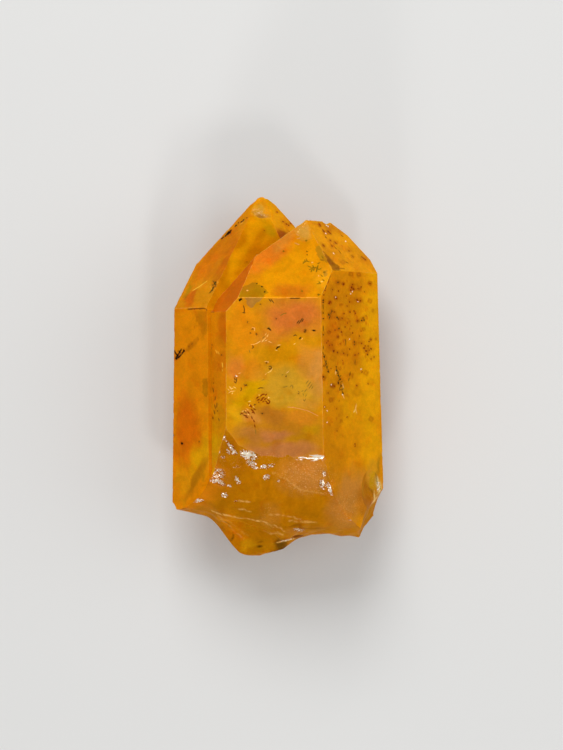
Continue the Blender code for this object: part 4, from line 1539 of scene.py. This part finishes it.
def fine_bump(n, broken, glint):
    """Small tilted facets that glitter on the break, over a fine grain everywhere."""
    facets = n.times(n.facets(0.42), n.ramp(glint, 0.05, 0.6))
    grain = n.times(n.noise(0.25, 3.0), n.ramp(broken, 0.0, 1.0, 0.03, 0.09))
    height = n.math("ADD", facets, grain)
    values = {"Strength": 1.0, "Distance": BUMP_HEIGHT * MM, "Height": height}
    return n.new("ShaderNodeBump", values).outputs["Normal"]


def new_material(name):
    """A material, the calls for its nodes, and its shader."""
    material = bpy.data.materials.new(name)
    material.use_nodes = True
    return material, Nodes(material.node_tree), material.node_tree.nodes["Principled BSDF"]


def quartz_material():
    """Cloudy quartz under a thin iron film, which glitters on the break."""
    material, n, shader = new_material("golden_quartz_look")
    broken = n.attribute("broken")
    glint = n.times(n.attribute("glint"), broken, clamp=True)
    colour, painted_glint = break_colour(n, edge_colour(n, film_colour(n)), broken, glint)
    rough = n.ramp(n.noise(0.9, 2.0), 0.3, 0.7, 0.28, 0.42)
    # A gold sheen of the iron film, and the silver of cracks that throw the light back.
    sheen = n.ramp(broken, 0.0, 1.0, 0.13, 0.05)
    normal = fine_bump(n, broken, glint)
    n.feed(shader, {
        "Base Color": colour,
        "Roughness": n.math("MULTIPLY_ADD", painted_glint, -0.14, rough),
        "Metallic": n.math("MULTIPLY_ADD", painted_glint, 0.4, sheen),
        "IOR": QUARTZ_IOR,
        "Specular IOR Level": 0.004,
        "Specular Tint": (1.0, 0.62, 0.12, 1.0),
        "Subsurface Weight": n.math("MULTIPLY_ADD", painted_glint, -0.4, 0.45),
        "Subsurface Radius": (1.0, 0.42, 0.12),
        "Subsurface Scale": 2.2 * MM,
        "Coat Weight": n.math("MAXIMUM", painted_glint, n.times(glint, 0.4), clamp=True),
        "Coat Roughness": 0.10,
        "Normal": normal,
        "Coat Normal": normal,
    })
    return material


# ================================================================== the piece
def add_object(name, data):
    """A new object in the scene."""
    made = bpy.data.objects.new(name, data)
    bpy.context.scene.collection.objects.link(made)
    return made


def dense_mesh():
    """The solid's surfaces cut up finely, with the planes of its faces and the marks on each."""
    points, triangles = read_solid()
    planes, surface = find_planes(points, triangles)
    dense = Surface(points, triangles, surface, planes)
    marks = place_marks(planes, [dense.outline(number) for number in range(len(planes))])
    for number, own_marks in enumerate(marks):
        dense.fill_plane(number, own_marks)
    dense.fill_broken()
    return dense.arrays(), planes, marks


def depths(points, triangles, numbers, planes, marks, near, on_plane):
    """How far each point is cut in: the relief of its surface, its marks, and worn edges."""
    is_broken = ~on_plane
    cut = np.zeros(len(points))
    rough = np.maximum(near["glint"], near["glint_strand"])
    cut[is_broken] = break_relief(points[is_broken], rough[is_broken], near["lip"][is_broken])
    step, near["ridge_highlight"][is_broken] = ridge_lines(points[is_broken])
    cut[is_broken] += step
    edge_fade, lip_fade = (np.clip(near[name] / EDGE_FADE, 0.0, 1.0) for name in ("edge", "lip"))
    cut[on_plane] = face_relief(points[on_plane]) * (edge_fade * lip_fade)[on_plane]
    for number, plane in enumerate(planes):
        ids = np.unique(triangles[numbers == number])
        if plane.normal[2] < LIES_DOWN:
            cut[ids] = 0.0  # the face that it rests on stays flat
        drawn = plane.drawn(points[ids])
        for mark in marks[number]:
            cut[ids] += mark.depth_at(drawn)
    chips = smooth(*CHIP_START, field(points, CHIP_SIZE, seed=31, octaves=3)) * CHIP_DEPTH + EDGE_ROUNDING
    reach = np.clip(1.0 - np.minimum(near["edge"], near["lip"]) / CHIP_REACH, 0.0, 1.0)
    return cut + chips * reach * (1.0 - near["soft"])


def make_quartz():
    """The dressed quartz, cut in, painted, and given the values that its material reads."""
    (points, triangles, numbers), planes, marks = dense_mesh()
    edge, lip = edge_distances(points, triangles, numbers)
    on_plane = np.zeros(len(points), bool)
    on_plane[triangles[numbers != BROKEN]] = True
    points = relax(points, triangles, np.where(on_plane, 0.0, BREAK_SHARE), BREAK_ROUNDS)
    soft = strongest(SOFT_BORDERS, points) * np.where(on_plane, smooth(*SOFT_REACH, lip), 1.0)
    points = relax(points, triangles, SOFT_SHARE * soft, SOFT_ROUNDS)
    near = {
        "edge": edge,
        "lip": lip,
        "glint": np.where(on_plane & (lip > GLINT_REACH), 0.0, strongest(GLINTS, points)),
        "ridge_highlight": np.zeros(len(points)),
        "glint_strand": np.where(on_plane & (lip > STRAND_REACH), 0.0, strongest(GLINT_STRANDS, points)),
        "haze": strongest(HAZE, points),
        "soft": soft,
    }
    normals = point_normals(points, triangles)
    cut = depths(points, triangles, numbers, planes, marks, near, on_plane)
    points = points - normals * cut[:, None]
    points = np.clip(points, np.array(CAD_BOX[0]) / MM, np.array(CAD_BOX[1]) / MM)

    mesh = bpy.data.meshes.new("quartz")
    mesh.from_pydata((points * MM).tolist(), [], triangles.tolist())
    mesh.polygons.foreach_set("use_smooth", np.ones(len(triangles), bool))
    tint = corner_colours(points, triangles, numbers, planes, marks)
    rgba = np.concatenate((tint, np.ones((len(triangles), 3, 1))), axis=2)
    painted = mesh.color_attributes.new("tint", "FLOAT_COLOR", "CORNER")
    painted.data.foreach_set("color", rgba.astype(np.float32).ravel())
    at_corners = {
        "rusty": rusty_field(points, triangles, numbers, planes),
        "wear_and_light": wear_and_light_field(points, triangles, numbers, planes),
        "broken": np.repeat((numbers == BROKEN)[:, None], 3, axis=1),
    }
    for domain, fields in (("CORNER", at_corners), ("POINT", near)):
        for name, values in fields.items():
            made = mesh.attributes.new(name, "FLOAT", domain)
            made.data.foreach_set("value", values.astype(np.float32).ravel())
    mesh.materials.append(quartz_material())
    return add_object("quartz", mesh)


# ================================================================== stage
def make_floor():
    """A large pale, dull floor."""
    mesh = bpy.data.meshes.new("floor")
    half = FLOOR_SIZE / 2
    corners = [(-half, -half, 0), (half, -half, 0), (half, half, 0), (-half, half, 0)]
    mesh.from_pydata(corners, [], [(0, 1, 2, 3)])
    material, n, shader = new_material("floor")
    look = {"Base Color": (0.66, 0.66, 0.65, 1.0), "Roughness": 0.9, "Specular IOR Level": 0.1}
    n.feed(shader, look)
    mesh.materials.append(material)
    return add_object("floor", mesh)


def light_scene():
    """An even white world, and square soft lights that face the object."""
    world = bpy.data.worlds.new("studio")
    bpy.context.scene.world = world
    world.use_nodes = True
    background = world.node_tree.nodes["Background"]
    Nodes(world.node_tree).feed(background, {"Color": (1.0, 1.0, 1.0, 1.0), "Strength": WORLD_STRENGTH})
    for name, place, size, power in LIGHTS:
        data = bpy.data.lights.new(name, "AREA")
        data.shape, data.size, data.energy = "SQUARE", size, power
        light = add_object(name, data)
        light.location = place
        aim = Vector(LIGHT_AIM) - light.location
        light.rotation_euler = aim.to_track_quat("-Z", "Y").to_euler()


def make_camera():
    data = bpy.data.cameras.new("camera")
    data.sensor_width = SENSOR
    data.sensor_fit = "AUTO"
    data.lens = SENSOR * CAMERA_HEIGHT / VIEW_LENGTH
    data.clip_start, data.clip_end = 0.01, 10.0
    camera = add_object("camera", data)
    camera.location = camera_place()
    bpy.context.scene.camera = camera


def main():
    quartz = make_quartz()
    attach(quartz, "root")
    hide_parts(NODE)
    floor = make_floor()
    floor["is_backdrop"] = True
    light_scene()
    make_camera()
    scene = bpy.context.scene
    scene.view_settings.view_transform = "Standard"
    scene.view_settings.look = "None"
    boxes = {"cad": CAD_BOX, "visual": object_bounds()}
    {name: [list(corner) for corner in box] for name, box in boxes.items()}


main()
